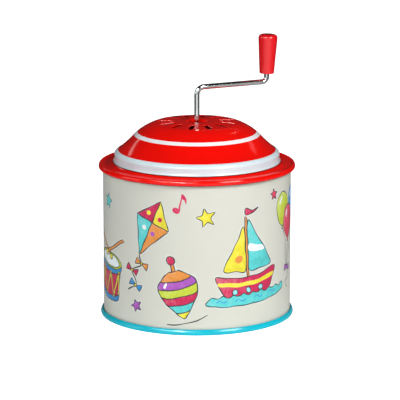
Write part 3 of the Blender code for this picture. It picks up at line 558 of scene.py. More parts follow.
def level_shading(mesh, profile):
    """Gives the dome between the slots the normals of its smooth profile, whatever its triangles."""
    places = np.empty(3 * len(mesh.vertices))
    mesh.vertices.foreach_get("co", places)
    x, y, z = places.reshape(-1, 3).T / MM
    radii = np.hypot(x, y)
    slopes = np.gradient(profile[:, 1], profile[:, 0])
    slope = np.interp(radii, profile[:, 0], slopes)
    even = np.c_[-slope * x / radii, -slope * y / radii, np.ones(len(x))]
    even /= np.linalg.norm(even, axis=1)[:, None]
    clear = slot_distance(x, y) > SLOT_LIP - 0.01
    on_top = np.abs(z - np.interp(radii, profile[:, 0], profile[:, 1])) < TIN / 3
    level = clear & on_top & (radii > LEVEL_ZONE[0]) & (radii < LEVEL_ZONE[1])
    normals = np.empty(3 * len(mesh.loops))
    mesh.corner_normals.foreach_get("vector", normals)
    normals = normals.reshape(-1, 3)
    corners = np.empty(len(mesh.loops), int)
    mesh.loops.foreach_get("vertex_index", corners)
    outer = level[corners] & (normals[:, 2] > 0)
    normals[outer] = even[corners[outer]]
    mesh.normals_split_custom_set([tuple(normal) for normal in normals])


def make_lid():
    profile = lid_profile()
    top = profile[profile[:, 0] < SKIRT_RADIUS]
    inner, outer = SLOT_ZONE
    edge_inner, edge_outer = zip(SLOT_ZONE, np.interp(SLOT_ZONE, top[:, 0], top[:, 1]))
    last_top = int(np.argmax(profile[:, 0] > outer))
    first_part = [point for point in profile[:last_top] if point[0] < inner - ZONE_GAP] + [edge_inner]
    second_part = [edge_outer] + [point for point in profile[last_top:] if point[0] > outer + ZONE_GAP]
    points, faces = [], []
    for part_points, part_faces in (ring_grid(first_part, LID_SIDES), slotted_dome(top),
                                    ring_grid(second_part, LID_SIDES)):
        shift = len(points)
        points.extend(part_points)
        faces.extend(tuple(index + shift for index in face) for face in part_faces)
    made = piece("tin_lid", points, faces, lid_paints)
    bm = bmesh.new()
    bm.from_mesh(made.data)
    bmesh.ops.remove_doubles(bm, verts=bm.verts, dist=2 * WELD * MM)
    for face in bm.faces:
        middle = face.calc_center_median() / MM
        radius = hypot(middle.x, middle.y)
        stripe = STRIPE_INNER - BORDER_SLACK < radius < SHOULDER_RADIUS + BORDER_SLACK
        bead = radius > SKIRT_RADIUS - BORDER_SLACK and middle.z > BEAD_FOOT_Z
        # A thin band in the crease just under the bead gets painted shade.
        painted_crease_shade = (CREASE_SHADE_RADII[0] < radius < CREASE_SHADE_RADII[1]
                  and CREASE_SHADE_Z - BORDER_SLACK < middle.z < BEAD_FOOT_Z)
        # The hem's underside gets painted shade in dark crimson.
        painted_under_hem_shade = radius > WALL_RADIUS and middle.z < RIM_Z - 0.5 * HEM_RADIUS
        face.material_index = 1 if stripe else 2 if bead else 3 if painted_crease_shade else 4 if painted_under_hem_shade else 0
    bm.to_mesh(made.data)
    bm.free()
    thick = made.modifiers.new("tin", "SOLIDIFY")
    thick.thickness = TIN * MM
    thick.offset = -1
    thick.use_even_offset = True
    solid = bpy.data.meshes.new_from_object(made.evaluated_get(bpy.context.evaluated_depsgraph_get()))
    made.modifiers.clear()
    made.data = solid
    smooth_shaded(solid, LID_SHARP_TURN)
    level_shading(solid, top)
    return made


# Bottom

def make_base():
    dense = softened(BASE_LINE)
    inner = offset_line(dense, -TIN)[::-1]
    outline = np.vstack([thinned(dense, longest=3.0), thinned(inner, longest=3.0)])
    outline[:, 0] = np.maximum(outline[:, 0], AXIS_RADIUS)
    return turned_piece("tin_base", outline, LID_SIDES, blue_lacquer)


# Crank and knob

FOOT_BEND = 2.9
PIN_BEND = 1.9
UPRIGHT_HEIGHTS = (62.3, 70.5, 74.0, 80.0)
ARM_PLACES = (8, 13, 18, 23)
PIN_HEIGHTS = (3.25, 8.0, 12.3)
FOOT_STEPS = 14


def pin_point(height):
    """A point of the knob's pin, in the plane of the crank."""
    return CRANK_REACH + height * sin(PIN_LEAN), ARM_Z + height * cos(PIN_LEAN)


def crank_line():
    """The wire's middle line in the plane of the crank, from the shaft's socket to the pin's head."""
    line = [(0, height) for height in UPRIGHT_HEIGHTS]
    for step in range(FOOT_STEPS + 1):
        angle = pi / 2 * step / FOOT_STEPS
        line.append((FOOT_BEND * (1 - cos(angle)), ARM_Z - FOOT_BEND * (1 - sin(angle))))
    line += [(place, ARM_Z) for place in ARM_PLACES]
    sweep = pi / 2 - PIN_LEAN
    setback = PIN_BEND * tan(sweep / 2)
    for step in range(CURVE_STEPS + 1):
        angle = sweep * step / CURVE_STEPS
        line.append((CRANK_REACH - setback + PIN_BEND * sin(angle), ARM_Z + PIN_BEND * (1 - cos(angle))))
    return line + [pin_point(height) for height in PIN_HEIGHTS]


def make_crank():
    line = crank_line()
    radii = [WIRE_RADIUS] * len(line) + [PIN_HEAD_RADIUS] * len(PIN_HEAD_HEIGHTS)
    line += [pin_point(height) for height in PIN_HEAD_HEIGHTS]
    path = [(x * cos(ARM_AZIMUTH), x * sin(ARM_AZIMUTH), z) for x, z in line]
    return tube("crank_wire", path, radii, WIRE_SIDES, chrome)


def make_knob():
    """The tapered knob, with a bore for the pin and a wider room for the pin's head."""
    joint = {item["name"]: item for item in frame["joints"]}["knob_spin"]
    line = [(KNOB_BORE, 0.0), (KNOB_FOOT_RADIUS, 0.0)]
    line.append((KNOB_TOP_RADIUS, KNOB_LENGTH - KNOB_EDGE))
    for step in range(KNOB_EDGE_STEPS + 1):
        angle = pi / 2 * step / KNOB_EDGE_STEPS
        line.append((KNOB_TOP_RADIUS - KNOB_EDGE * (1 - cos(angle)),
                     KNOB_LENGTH - KNOB_EDGE * (1 - sin(angle))))
    low, high = HEAD_ROOM_HEIGHTS
    line += [(AXIS_RADIUS, KNOB_LENGTH), (AXIS_RADIUS, high), (HEAD_ROOM_RADIUS, high),
             (HEAD_ROOM_RADIUS, low), (KNOB_BORE, low)]
    outline = thinned(softened(line, closed=True), longest=1.5)
    outline[:, 0] = np.maximum(outline[:, 0], AXIS_RADIUS)
    made = turned_piece("turning_knob", outline, KNOB_SIDES, moulding)
    way = Vector(joint["axis"])
    upright = way.to_track_quat("Z", "Y").to_matrix().to_4x4()
    made.matrix_world = Matrix.Translation(joint["pos_m"]) @ upright
    return made


# Print on the wall

# The sheet is laid flat: s runs along it from the front's middle, and z up.

INK = linear(44, 54, 56)
CREAM = linear(208, 208, 197)
HALO = linear(217, 219, 213)
YELLOW = linear(236, 222, 52)
LIME = linear(196, 212, 56)
TEAL = linear(84, 206, 206)
CYAN = linear(146, 222, 232)
CRIMSON = linear(206, 28, 84)
ROSE = linear(226, 62, 94)
ORANGE = linear(228, 144, 60)
AZURE = linear(40, 146, 212)
PURPLE = linear(172, 84, 188)
PAPER = linear(236, 244, 246)

SHEET_HALF = pi * WALL_RADIUS
SHEET_LOW = 0.9
SHEET_HIGH = 58.45
SHEET_LEVELS = (SHEET_LOW, 15.0, 30.0, 44.0, SHEET_HIGH)
SHEET_SIZE = (2 * SHEET_HALF, 60.0, 1.0)
SEAM_HALF = 1.6
SEAM_HEIGHT = 0.22
SEAM_EDGE = 0.35
GROUND_GRAIN = 0.08
INK_WIDTH = 0.34
HALO_WIDTH = 1.1
WOBBLE = 0.14
SIDE_SHADE = 0.5
PENCIL_SHADE = 0.42
DEEPEST = 0.55

sheet = []


def smoothed(points, closed=True, steps=5):
    """A smooth line through the points."""
    points = np.array(points, float)
    count = len(points)
    made = []
    for index in range(count if closed else count - 1):
        if closed:
            a, b, c, d = (points[(index + k) % count] for k in (-1, 0, 1, 2))
        else:
            b, c = points[index], points[index + 1]
            a = points[index - 1] if index else 2 * b - c
            d = points[index + 2] if index + 2 < count else 2 * c - b
        for step in range(steps):
            t = step / steps
            made.append(0.5 * (2 * b + (c - a) * t + (2 * a - 5 * b + 4 * c - d) * t ** 2
                               + (3 * b - a - 3 * c + d) * t ** 3))
    if not closed:
        made.append(points[-1])
    return np.array(made)


def oval(x, y, across, up, count=26):
    angles = 2 * pi * np.arange(count) / count
    return np.c_[x + across * np.cos(angles), y + up * np.sin(angles)]


def front_arc(y, across, up, count=14):
    """The near half of a level ring, from left to right."""
    angles = np.linspace(pi, 2 * pi, count + 1)
    return np.c_[across * np.cos(angles), y + up * np.sin(angles)]


def edged(points, spacing=1.2):
    """Corners joined by straight sides with points along them."""
    return resampled(points, spacing, closed=True)


def star_line(radius):
    made = []
    for step in range(10):
        reach = radius if step % 2 == 0 else radius * 0.48
        angle = pi / 2 + pi * step / 5
        made.append((reach * cos(angle), reach * sin(angle)))
    return smoothed(made, steps=3)


class Stencil:
    """Draws one motif on the sheet, each shape over the ones before it, in a pale ring."""

    def __init__(self, s, z, size, angle):
        self.place = np.array([s, z])
        self.size = size
        self.angle = angle
        self.turn = np.array([[cos(angle), sin(angle)], [-sin(angle), cos(angle)]]) * size
        self.first = len(sheet)

    def put(self, points, colour, cuts=True, shade=0.0, grain=1.0):
        """A region of colour, with how far it darkens to its lower right and how grainy it is."""
        line = np.array(points, float) @ self.turn + self.place
        s, z = line.T
        line = line + WOBBLE * np.c_[np.sin(0.9 * z + 0.35 * s), np.sin(0.8 * s - 0.5 * z + 1.2)]
        low, high = line.min(axis=0), line.max(axis=0)
        sheet.append({"line": line, "colour": colour, "cuts": cuts, "shade": shade, "grain": grain,
                      "centre": (low + high) / 2, "reach": max(high - low) / 2})

    def ink(self, points, width=INK_WIDTH, closed=False, colour=INK):
        """A hand-drawn line that swells and thins a little."""
        points = np.array(points, float)
        if closed:
            points = np.vstack([points, points[:1]])
        ways = np.gradient(points, axis=0)
        if closed:
            ways[0] = ways[-1] = points[1] - points[-2]
        ways /= np.maximum(np.hypot(ways[:, 0], ways[:, 1]), 1e-9)[:, None]
        swell = 1 + 0.22 * np.sin(np.arange(len(points)) * 0.9 + points[0, 0])
        if closed:
            swell[-1] = swell[0]
        side = np.c_[-ways[:, 1], ways[:, 0]] * (width / 2 * swell)[:, None]
        self.put(np.vstack([points + side, (points - side)[::-1]]), colour, grain=0.3)

    def shape(self, points, colour, shade=0.5):
        """A region with an ink line round it."""
        self.put(points, colour, cuts=False, shade=shade)
        self.ink(points, closed=True)

    def bar(self, start, end, width, colour):
        """A straight stick with an ink line round it."""
        start, end = np.array(start, float), np.array(end, float)
        way = (end - start) / np.hypot(*(end - start))
        side = np.array([-way[1], way[0]]) * width / 2
        self.shape(edged([start + side, end + side, end - side, start - side], 1.4), colour, 0.3)

    def done(self):
        """Lays the pale ring under the motif."""
        drawn = sheet[self.first:]
        del sheet[self.first:]
        plain = Stencil(0, 0, 1.0, 0.0)
        for shape in drawn:
            if not shape["cuts"]:
                plain.ink(shape["line"], HALO_WIDTH, closed=True, colour=HALO)
        sheet.extend(drawn)


def draw_kite(pen):
    top, right, foot, left, middle = (0, 10), (6.6, 1.8), (0, -11), (-6.6, 1.8), (0, 1.8)
    tail = smoothed([foot, (2.2, -14), (-0.6, -17.5), (2.8, -21), (0.6, -25)], closed=False, steps=6)
    pen.ink(tail, 0.4)
    for index, colour in ((5, ORANGE), (12, CRIMSON), (19, AZURE)):
        x, y = tail[index]
        for side in (-1, 1):
            pen.shape(edged([(x, y), (x + side * 2.6, y + 1.5), (x + side * 2.6, y - 1.2)], 1.0), colour, 0.3)
        pen.shape(oval(x, y, 0.55, 0.55, 8), YELLOW, 0)
    for corners, colour in (((top, middle, left), CRIMSON), ((top, right, middle), YELLOW),
                            ((left, middle, foot), TEAL), ((middle, right, foot), ORANGE)):
        pen.shape(edged(corners), colour)
    for x, y, colour in ((-2.4, 4.4, YELLOW), (2.2, 4.2, CRIMSON), (-1.9, -1.2, PAPER), (1.8, -1.6, PURPLE)):
        pen.put(oval(x, y, 0.85, 0.85, 12), colour)
    pen.done()


def draw_drum(pen):
    rim, foot, dip = 9.0, 8.4, 2.9
    rim_y, foot_y, hoop = 5.0, -5.6, 1.9
    pen.shape(np.vstack([front_arc(rim_y, rim, dip), front_arc(foot_y - 1.6, foot, dip)[::-1]]), CRIMSON, 0.7)
    rope = []
    for index, angle in enumerate(np.linspace(pi * 1.03, pi * 1.97, 8)):
        across, y = (rim, rim_y - hoop) if index % 2 == 0 else (foot, foot_y)
        rope.append((across * cos(angle), y + dip * sin(angle)))
    for start, end in zip(rope, rope[1:]):
        stretch = np.linspace(start, end, 5)
        pen.ink(stretch, 1.0)
        pen.ink(stretch, 0.55, colour=YELLOW)
    for y, across in ((rim_y, rim + 0.3), (foot_y, foot + 0.4)):
        pen.shape(np.vstack([front_arc(y, across, dip), front_arc(y - hoop, across, dip)[::-1]]), AZURE)
    for x, y in rope:
        pen.shape(oval(x, y, 0.6, 0.6, 9), YELLOW, 0)
    pen.shape(oval(0, rim_y, rim + 0.3, dip + 0.1, 34), LIME, 0.2)
    pen.shape(oval(0, rim_y, rim - 1.1, dip - 0.5, 30), PAPER, 0.3)
    for grip, tip in (((-10.5, 13.2), (1.6, 6.4)), ((9.6, 14.6), (-2.6, 6.8))):
        pen.bar(grip, tip, 1.1, ORANGE)
        pen.shape(oval(*tip, 1.25, 1.1, 14), YELLOW)
    pen.done()


def draw_boat(pen):
    pen.bar((0, 0), (0, 23.5), 0.9, ORANGE)
    pen.shape(smoothed([(0.3, 26.6), (3.0, 25.2), (5.6, 26.0), (3.4, 24.4), (0.3, 23.9)]), CRIMSON)
    pen.shape(smoothed([(0.9, 22.0), (4.4, 16.4), (8.2, 10.4), (11.2, 4.2), (6, 3.5), (0.9, 3.4),
                        (0.6, 12)]), TEAL)
    pen.put(smoothed([(1.0, 13.0), (4.0, 12.4), (6.7, 11.9), (7.9, 9.8), (4.4, 10.0), (1.0, 10.6)]),
            PAPER, shade=0.3)
    pen.shape(smoothed([(-0.9, 19.6), (-3.8, 14.6), (-7.0, 9.4), (-9.6, 4.4), (-5, 3.6), (-0.9, 3.5),
                        (-0.6, 11)]), YELLOW)
    pen.put(oval(-3.4, 8.0, 1.5, 1.5, 16), ORANGE, shade=0.3)
    pen.shape(smoothed([(-12.6, 2.2), (-6, 1.3), (0, 1.0), (6.5, 1.4), (13.4, 2.8), (11.6, -2.2), (8.6, -5.6),
                        (0, -6.4), (-8.2, -5.8), (-11.2, -2.2)]), CRIMSON, 0.7)
    pen.put(smoothed([(-11.8, 0.2), (-6, -0.5), (0, -0.8), (6.5, -0.4), (12.4, 0.6), (11.8, -0.8),
                      (6.5, -1.9), (0, -2.3), (-6, -2.0), (-11.3, -1.2)]), YELLOW, shade=0.4)
    for x in (-5.6, 0, 5.6):
        pen.shape(oval(x, -3.9, 1.05, 1.05, 12), CYAN, 0.2)
    crests = []
    for index in range(9):
        x = -15.5 + 4.0 * index
        crests += [(x, -5.6), (x + 1.3, -4.9), (x + 2.6, -5.5)]
    deep = [(18.4, -7.6), (12, -8.8), (4, -9.3), (-4, -9.2), (-11, -8.9), (-16.6, -7.6)]
    pen.shape(smoothed(crests + deep, steps=3), TEAL, 0.4)
    for x, y in ((-11, -7.2), (-3.5, -7.5), (4.2, -7.4), (11.6, -7.0)):
        ripple = [(x - 2, y), (x - 0.7, y + 0.6), (x + 0.8, y - 0.1), (x + 2.2, y + 0.5)]
        pen.ink(smoothed(ripple, False, 4), 0.3, colour=AZURE)
    pen.done()


def draw_balloons(pen):
    knot = (0.4, -21)
    balls = ((-5.6, 1.8, LIME), (5.4, 3.4, AZURE), (0.2, -3.4, ROSE))
    for x, y, _ in balls:
        pen.ink(smoothed([(x, y - 6.8), (x * 0.55 + 0.8, y * 0.2 - 11), (x * 0.3 - 0.4, -16), knot], False))
    pen.ink(smoothed([knot, (1.6, -24), (-1.0, -26), (1.2, -28.5)], False))
    for side in (-1, 1):
        bow = [knot, (knot[0] + side * 2.6, -19.4), (knot[0] + side * 2.9, -21.8)]
        pen.shape(smoothed(bow, steps=4), PURPLE)
    for x, y, colour in balls:
        pen.shape(edged([(x, y - 6.2), (x + 0.9, y - 7.5), (x - 0.9, y - 7.5)], 0.9), colour)
        half = [(0, 6.3), (3.9, 4.4), (5.0, 0), (2.9, -4.6), (0, -6.5), (-2.9, -4.6), (-5.0, 0), (-3.9, 4.4)]
        pen.shape(smoothed(np.array(half) + (x, y), steps=4), colour, 0.9)
        glint = [(-3.0, 2.6), (-1.6, 4.4), (-1.2, 3.9), (-2.4, 1.6)]
        pen.put(smoothed(np.array(glint) + (x, y), steps=4), PAPER, grain=0.4)
    pen.done()


def draw_top(pen):
    pen.bar((0, 6.4), (0, 10.4), 1.1, ORANGE)
    pen.shape(oval(0, 11.0, 1.5, 1.4, 14), CRIMSON)
    side = smoothed([(0.4, -9.0), (2.4, -6.6), (4.9, -3.4), (6.7, 0.2), (6.4, 3.4), (4.0, 6.0), (1.4, 7.4)],
                    closed=False)
    levels = (-9.0, -6.4, -3.4, -0.4, 2.4, 4.8, 7.4)
    for low, high, colour in zip(levels, levels[1:], (YELLOW, TEAL, CRIMSON, LIME, PURPLE, ORANGE)):
        between = side[(side[:, 1] > low) & (side[:, 1] < high)]
        w_low, w_high = np.interp((low, high), side[:, 1], side[:, 0])
        pen.shape(np.vstack([front_arc(low, w_low, w_low * 0.2, 8), between,
                             front_arc(high, w_high, w_high * 0.2, 8)[::-1],
                             between[::-1] * (-1, 1)]), colour)
    pen.put(smoothed([(-4.7, 2.6), (-3.7, 3.9), (-3.3, 3.4), (-4.1, 2.0)], steps=4), PAPER, grain=0.4)
    pen.ink(smoothed([(-6.5, -9.8), (-2, -10.6), (3, -10.6), (7.4, -9.6)], False, 4))
    pen.done()


def draw_pinwheel(pen):
    pen.bar((0.6, -24), (0, 0), 1.0, ORANGE)
    pen.done()
    for index, colour in enumerate((CRIMSON, TEAL, YELLOW, PURPLE)):
        blade = Stencil(*pen.place, pen.size, pen.angle + index * pi / 2)
        sail = [(0, 0), (-0.8, 4.6), (0.6, 9.2), (4.8, 9.8), (7.8, 7.4), (4.4, 6.2), (2.0, 3.4)]
        blade.shape(smoothed(sail, steps=4), colour, 0.6)
        blade.shape(edged([(0, 0), (0.6, 9.2), (2.4, 5.2)]), darker(colour, 0.72), 0.2)
        blade.done()
    Stencil(*pen.place, pen.size, 0.0).shape(oval(0, 0, 1.2, 1.2, 12), LIME)


def draw_chimes(pen):
    pen.bar((-13, 4.4), (13, 2.2), 1.2, ORANGE)
    pen.bar((-13, -4.4), (13, -2.2), 1.2, ORANGE)
    for index, colour in enumerate((CRIMSON, ORANGE, YELLOW, LIME, TEAL, AZURE, PURPLE)):
        x = 3.8 * (index - 3)
        half = 8.2 - 0.7 * index
        pen.shape(edged([(x - 1.4, -half), (x + 1.4, -half), (x + 1.4, half), (x - 1.4, half)], 1.6), colour)
        for y in (1.7 - half, half - 1.7):
            pen.put(oval(x, y, 0.4, 0.4, 8), INK, grain=0.2)
    pen.bar((-6, 12.4), (8.2, 7.6), 0.8, ORANGE)
    pen.shape(oval(9.0, 7.2, 1.5, 1.5, 14), ROSE)
    pen.done()


def draw_umbrella(pen):
    handle = smoothed([(0, 0), (0, -11), (0.6, -13.6), (2.6, -13.8), (3.4, -12.2)], False)
    pen.ink(handle, 1.3)
    pen.ink(handle, 0.7, colour=ORANGE)
    feet = (-10, -6, -2, 2, 6, 10)
    for left, right, colour in zip(feet, feet[1:], (YELLOW, CRIMSON, TEAL, CRIMSON, YELLOW)):
        panel = [(0, 9.4)]
        panel += [(right * share, 9.4 - 9.6 * share ** 2) for share in (0.35, 0.65, 0.88, 1.0)]
        panel.append(((left + right) / 2, 0.9))
        panel += [(left * share, 9.4 - 9.6 * share ** 2) for share in (1.0, 0.88, 0.65, 0.35)]
        pen.shape(edged(panel, 1.3), colour, 0.4)
    pen.shape(oval(0, 10.0, 0.7, 0.9, 10), AZURE)
    pen.done()


def draw_pail(pen):
    pen.bar((11.5, 12.5), (9.2, 0), 1.1, ORANGE)
    pen.shape(smoothed([(7.0, 0.6), (11.2, -0.2), (10.8, -5.4), (8.6, -7.8), (6.6, -4.8)], steps=4), CRIMSON)
    pen.ink(smoothed([(-6.8, 5.4), (-5, 10.6), (0, 12.4), (5, 10.6), (6.8, 5.4)], False, 6), 0.8)
    pen.shape(np.vstack([front_arc(5, 7.0, 1.9), front_arc(-7.4, 5.2, 1.5)[::-1]]), AZURE, 0.7)
    pen.shape(star_line(3.2) + (0, -2.0), YELLOW, 0.2)
    pen.shape(oval(0, 5, 7.0, 1.9, 26), CYAN, 0.3)
    pen.put(oval(0, 4.8, 5.9, 1.3, 20), AZURE, shade=0.2)
    pen.done()


def draw_star(s, z, radius, colour, turn):
    pen = Stencil(s, z, 1.0, turn)
    pen.shape(star_line(radius), colour)
    pen.done()


def draw_note(s, z, turn, colour):
    pen = Stencil(s, z, 1.0, turn)
    pen.ink(np.linspace((1.2, -2.2), (1.2, 4.2), 5), 0.5, colour=colour)
    pen.put(smoothed([(1.3, 4.4), (3.0, 2.8), (3.2, 0.8), (2.4, 2.0), (1.3, 2.6)], steps=4), colour)
    pen.put(oval(-0.1, -2.4, 1.5, 1.15, 14), colour)


def draw_sheet():
    for draw, s, z, size, turn in (
            (draw_drum, -43.5, 19.5, 1.05, -6), (draw_kite, -18.5, 41.0, 1.12, -24),
            (draw_top, -7.0, 16.5, 1.15, 14), (draw_boat, 20.5, 20.5, 1.05, 3),
            (draw_balloons, 47, 42.5, 1.05, -4), (draw_pinwheel, 76, 36, 1.1, 12),
            (draw_pail, 96, 16, 1.1, -5), (draw_umbrella, -73, 40, 1.15, 16),
            (draw_chimes, -90, 17, 1.05, 7)):
        draw(Stencil(s, z, size, radians(turn)))
    for s, z, radius, colour, turn in (
            (3.5, 45.5, 3.9, YELLOW, 0.25), (-43.5, 47.5, 3.4, TEAL, -0.2), (-25, 9.5, 2.6, PURPLE, 0.4),
            (34, 51.5, 2.3, ROSE, 0.1), (66, 11, 3.0, LIME, -0.3), (98, 47, 3.6, ORANGE, 0.2),
            (-101, 43, 3.2, YELLOW, 0.5), (-62, 11, 2.7, AZURE, 0.1)):
        draw_star(s, z, radius, colour, turn)
    for s, z, turn, colour in ((-57, 44, 0.1, AZURE), (-7.5, 50.5, -0.15, CRIMSON),
                               (55, 10, 0.2, PURPLE), (-88, 46, -0.2, CRIMSON)):
        draw_note(s, z, turn, colour)


def inside(line, points):
    """Which points a closed line winds round."""
    x, y = points.T
    wound = np.zeros(len(points), int)
    for (x0, y0), (x1, y1) in zip(line, np.roll(line, -1, axis=0)):
        side = (x1 - x0) * (y - y0) - (x - x0) * (y1 - y0)
        wound += (y0 <= y) & (y1 > y) & (side > 0)
        wound -= (y0 > y) & (y1 <= y) & (side < 0)
    return wound != 0


def cut_sheet(columns):
    """Triangles of the sheet, cut along its columns and its print, and the shape that each belongs to."""
    points = [(s, z) for s in columns for z in SHEET_LEVELS]
    count = len(SHEET_LEVELS)
    edges = []
    for column in range(len(columns)):
        for level in range(count):
            here = column * count + level
            if level + 1 < count:
                edges.append((here, here + 1))
            if column + 1 < len(columns):
                edges.append((here, here + count))
    for shape in sheet:
        if shape["cuts"]:
            edges += loop_edges(len(points), len(shape["line"]))
            points.extend(shape["line"])
    flat, triangles, middles = cut_plane(points, edges, 1e-4)
    owner = np.full(len(triangles), -1)
    for index, shape in enumerate(sheet):
        low, high = shape["line"].min(axis=0), shape["line"].max(axis=0)
        near = np.flatnonzero(((middles > low) & (middles < high)).all(axis=1))
        owner[near[inside(shape["line"], middles[near])]] = index
    return flat, triangles, owner


def printed_tin():
    """Varnished print on tin: flat ground, and fills with pencil grain that are darker at one side."""
    made = Finish("printed_tin", CREAM, 0.34, coat=0.12)
    ink = made.node("VertexColor", layer_name="print").outputs["Color"]
    place, amount = made.split(made.uv("shape")), made.split(made.uv("amount"))
    fall = made.math("MULTIPLY", made.math("SUBTRACT", place["X"], place["Y"]), amount["X"])
    strokes = (SHEET_SIZE[0], SHEET_SIZE[1] * 0.35, 1)
    wash = made.ranged(made.noise(0.35, 3, SHEET_SIZE, uv="sheet"), -0.5, 0.5)
    pencil = made.ranged(made.noise(1.6, 3, strokes, (0, 0, 0.9), uv="sheet"), -0.5, 0.5)
    grain = made.math("MULTIPLY", made.math("ADD", wash, pencil), amount["Y"])
    tone = made.math("MULTIPLY_ADD", fall, SIDE_SHADE, made.math("MULTIPLY", grain, PENCIL_SHADE))
    deep = made.blend(made.ranged(tone, 0.0, 1.0, 0.0, 1.0), ink, made.scaled(ink, DEEPEST))
    lifted = made.ranged(tone, 0.3, 0.0, -1.0, 0.0)
    made.shade("Base Color", made.blend(lifted, deep, (0.9, 0.9, 0.9, 1.0)))
    made.shade("Roughness", made.ranged(made.noise(500, 2), 0.3, 0.4))
    made.bump(made.noise(220, 2), 0.01, 0.2)
    return made.material


def seam_lift(s):
    """How far the lock seam at the back stands out of the wall."""
    return SEAM_HEIGHT * np.clip((np.abs(s) - (SHEET_HALF - SEAM_HALF)) / SEAM_EDGE, 0, 1)


def wrapped(s, z, radius):
    """Points of the flat sheet laid round the can."""
    angle = s / WALL_RADIUS - pi / 2
    return np.c_[radius * np.cos(angle), radius * np.sin(angle), z]


def make_wall():
    draw_sheet()
    seam = SHEET_HALF - SEAM_HALF
    columns = list(np.linspace(-SHEET_HALF, SHEET_HALF, WALL_COLUMNS + 1))
    columns += [side * (seam + step) for side in (-1, 1) for step in (0, SEAM_EDGE)]
    columns = np.sort(columns)
    flat, triangles, owner = cut_sheet(columns)
    s, z = flat.T
    points = list(wrapped(s, z, WALL_RADIUS + seam_lift(s)))
    faces = triangles.tolist()
    inner, top, foot = WALL_RADIUS - TIN, SHEET_HIGH + TIN, SHEET_LOW - TIN
    rest = [(WALL_RADIUS, SHEET_HIGH), (TOP_FLANGE, SHEET_HIGH), (TOP_FLANGE, top), (inner, top),
            (inner, foot), (FOOT_FLANGE, foot), (FOOT_FLANGE, SHEET_LOW), (WALL_RADIUS, SHEET_LOW)]
    first = len(points)
    for index, (radius, height) in enumerate(rest):
        lift = seam_lift(columns) if index in (0, len(rest) - 1) else 0
        points.extend(wrapped(columns, np.full(len(columns), height), radius + lift))
    for row in range(len(rest) - 1):
        for column in range(len(columns) - 1):
            here = first + row * len(columns) + column
            there = here + len(columns)
            faces.append((here, here + 1, there + 1, there))
    made = piece("tin_wall", points, faces, [printed_tin()])
    paint_wall(made.data, flat, triangles, owner)
    closed_up(made)
    return made


def paint_wall(mesh, flat, triangles, owner):
    """Lays the print's colours and the two places that its grain needs on the wall's corners."""
    corners = len(mesh.loops)
    colours = np.tile(np.array(CREAM), (corners, 1))
    sheet_place, shape_place, amount = np.zeros((3, corners, 2))
    printed = 3 * len(triangles)
    where = flat[triangles].reshape(-1, 2)
    sheet_place[:printed] = where / SHEET_SIZE[:2] + (0.5, 0)
    for index, shape in enumerate(sheet):
        mine = np.flatnonzero(np.repeat(owner == index, 3))
        colours[mine] = shape["colour"]
        shape_place[mine] = (where[mine] - shape["centre"]) / shape["reach"]
        amount[mine] = (shape["shade"], shape["grain"])
    ground = np.r_[np.repeat(owner < 0, 3), np.ones(corners - printed, bool)]
    amount[ground] = (0.0, GROUND_GRAIN)
    layer = mesh.color_attributes.new("print", "FLOAT_COLOR", "CORNER")
    layer.data.foreach_set("color", colours.ravel())
    for name, values in (("sheet", sheet_place), ("shape", shape_place), ("amount", amount)):
        mesh.uv_layers.new(name=name).data.foreach_set("uv", values.ravel())


lid = make_lid()
base = make_base()
crank = make_crank()
knob = make_knob()
wall = make_wall()

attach(lid, "housing")
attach(base, "housing")
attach(wall, "housing")
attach(crank, "crank_and_worm")
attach(knob, "handle")
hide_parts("lid")
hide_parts("base_pan")
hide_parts("can_wall")
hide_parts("crank")
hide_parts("knob")


# Studio

FLOOR_GLOW = 0.22
BACKDROP_GLOW = 0.85
GLOSS_ROOM = 0.03
HIGH_WINDOW = 12.0
LOW_WINDOW = 0.9
FLOOR_REACH = 6000
FLOOR_MIRROR = 0.85
LIGHT_TARGET = Vector((0, 0, 55))

# A window's edges: an axis of the view's direction, and where on it the edge is dark and lit
HIGH_EDGES = (("Z", 0.4, 0.48), ("Z", 0.7, 0.62), ("Y", -0.1, -0.25), ("X", -0.75, -0.6), ("X", 0.05, -0.1))
LOW_EDGES = (("Z", -0.06, 0.02), ("Z", 0.34, 0.26), ("Y", -0.1, -0.25), ("X", -0.85, -0.7), ("X", 0.95, 0.85))

# Each light's name, azimuth, elevation, distance, width, height, watts and any colour
LIGHTS = (
    ("key_right", 44.5, 36, 2500, 900, 900, 44),
    ("key_left", -22, 34, 2500, 420, 700, 24),
    ("side_left", -82, 12, 2500, 1100, 900, 7, (0.78, 0.95, 1.0)),
    ("rear_left_strip", -142, 22, 1200, 70, 400, 0.16),
    ("rear_right_strip", 129, 29, 1200, 110, 400, 0.1),
)


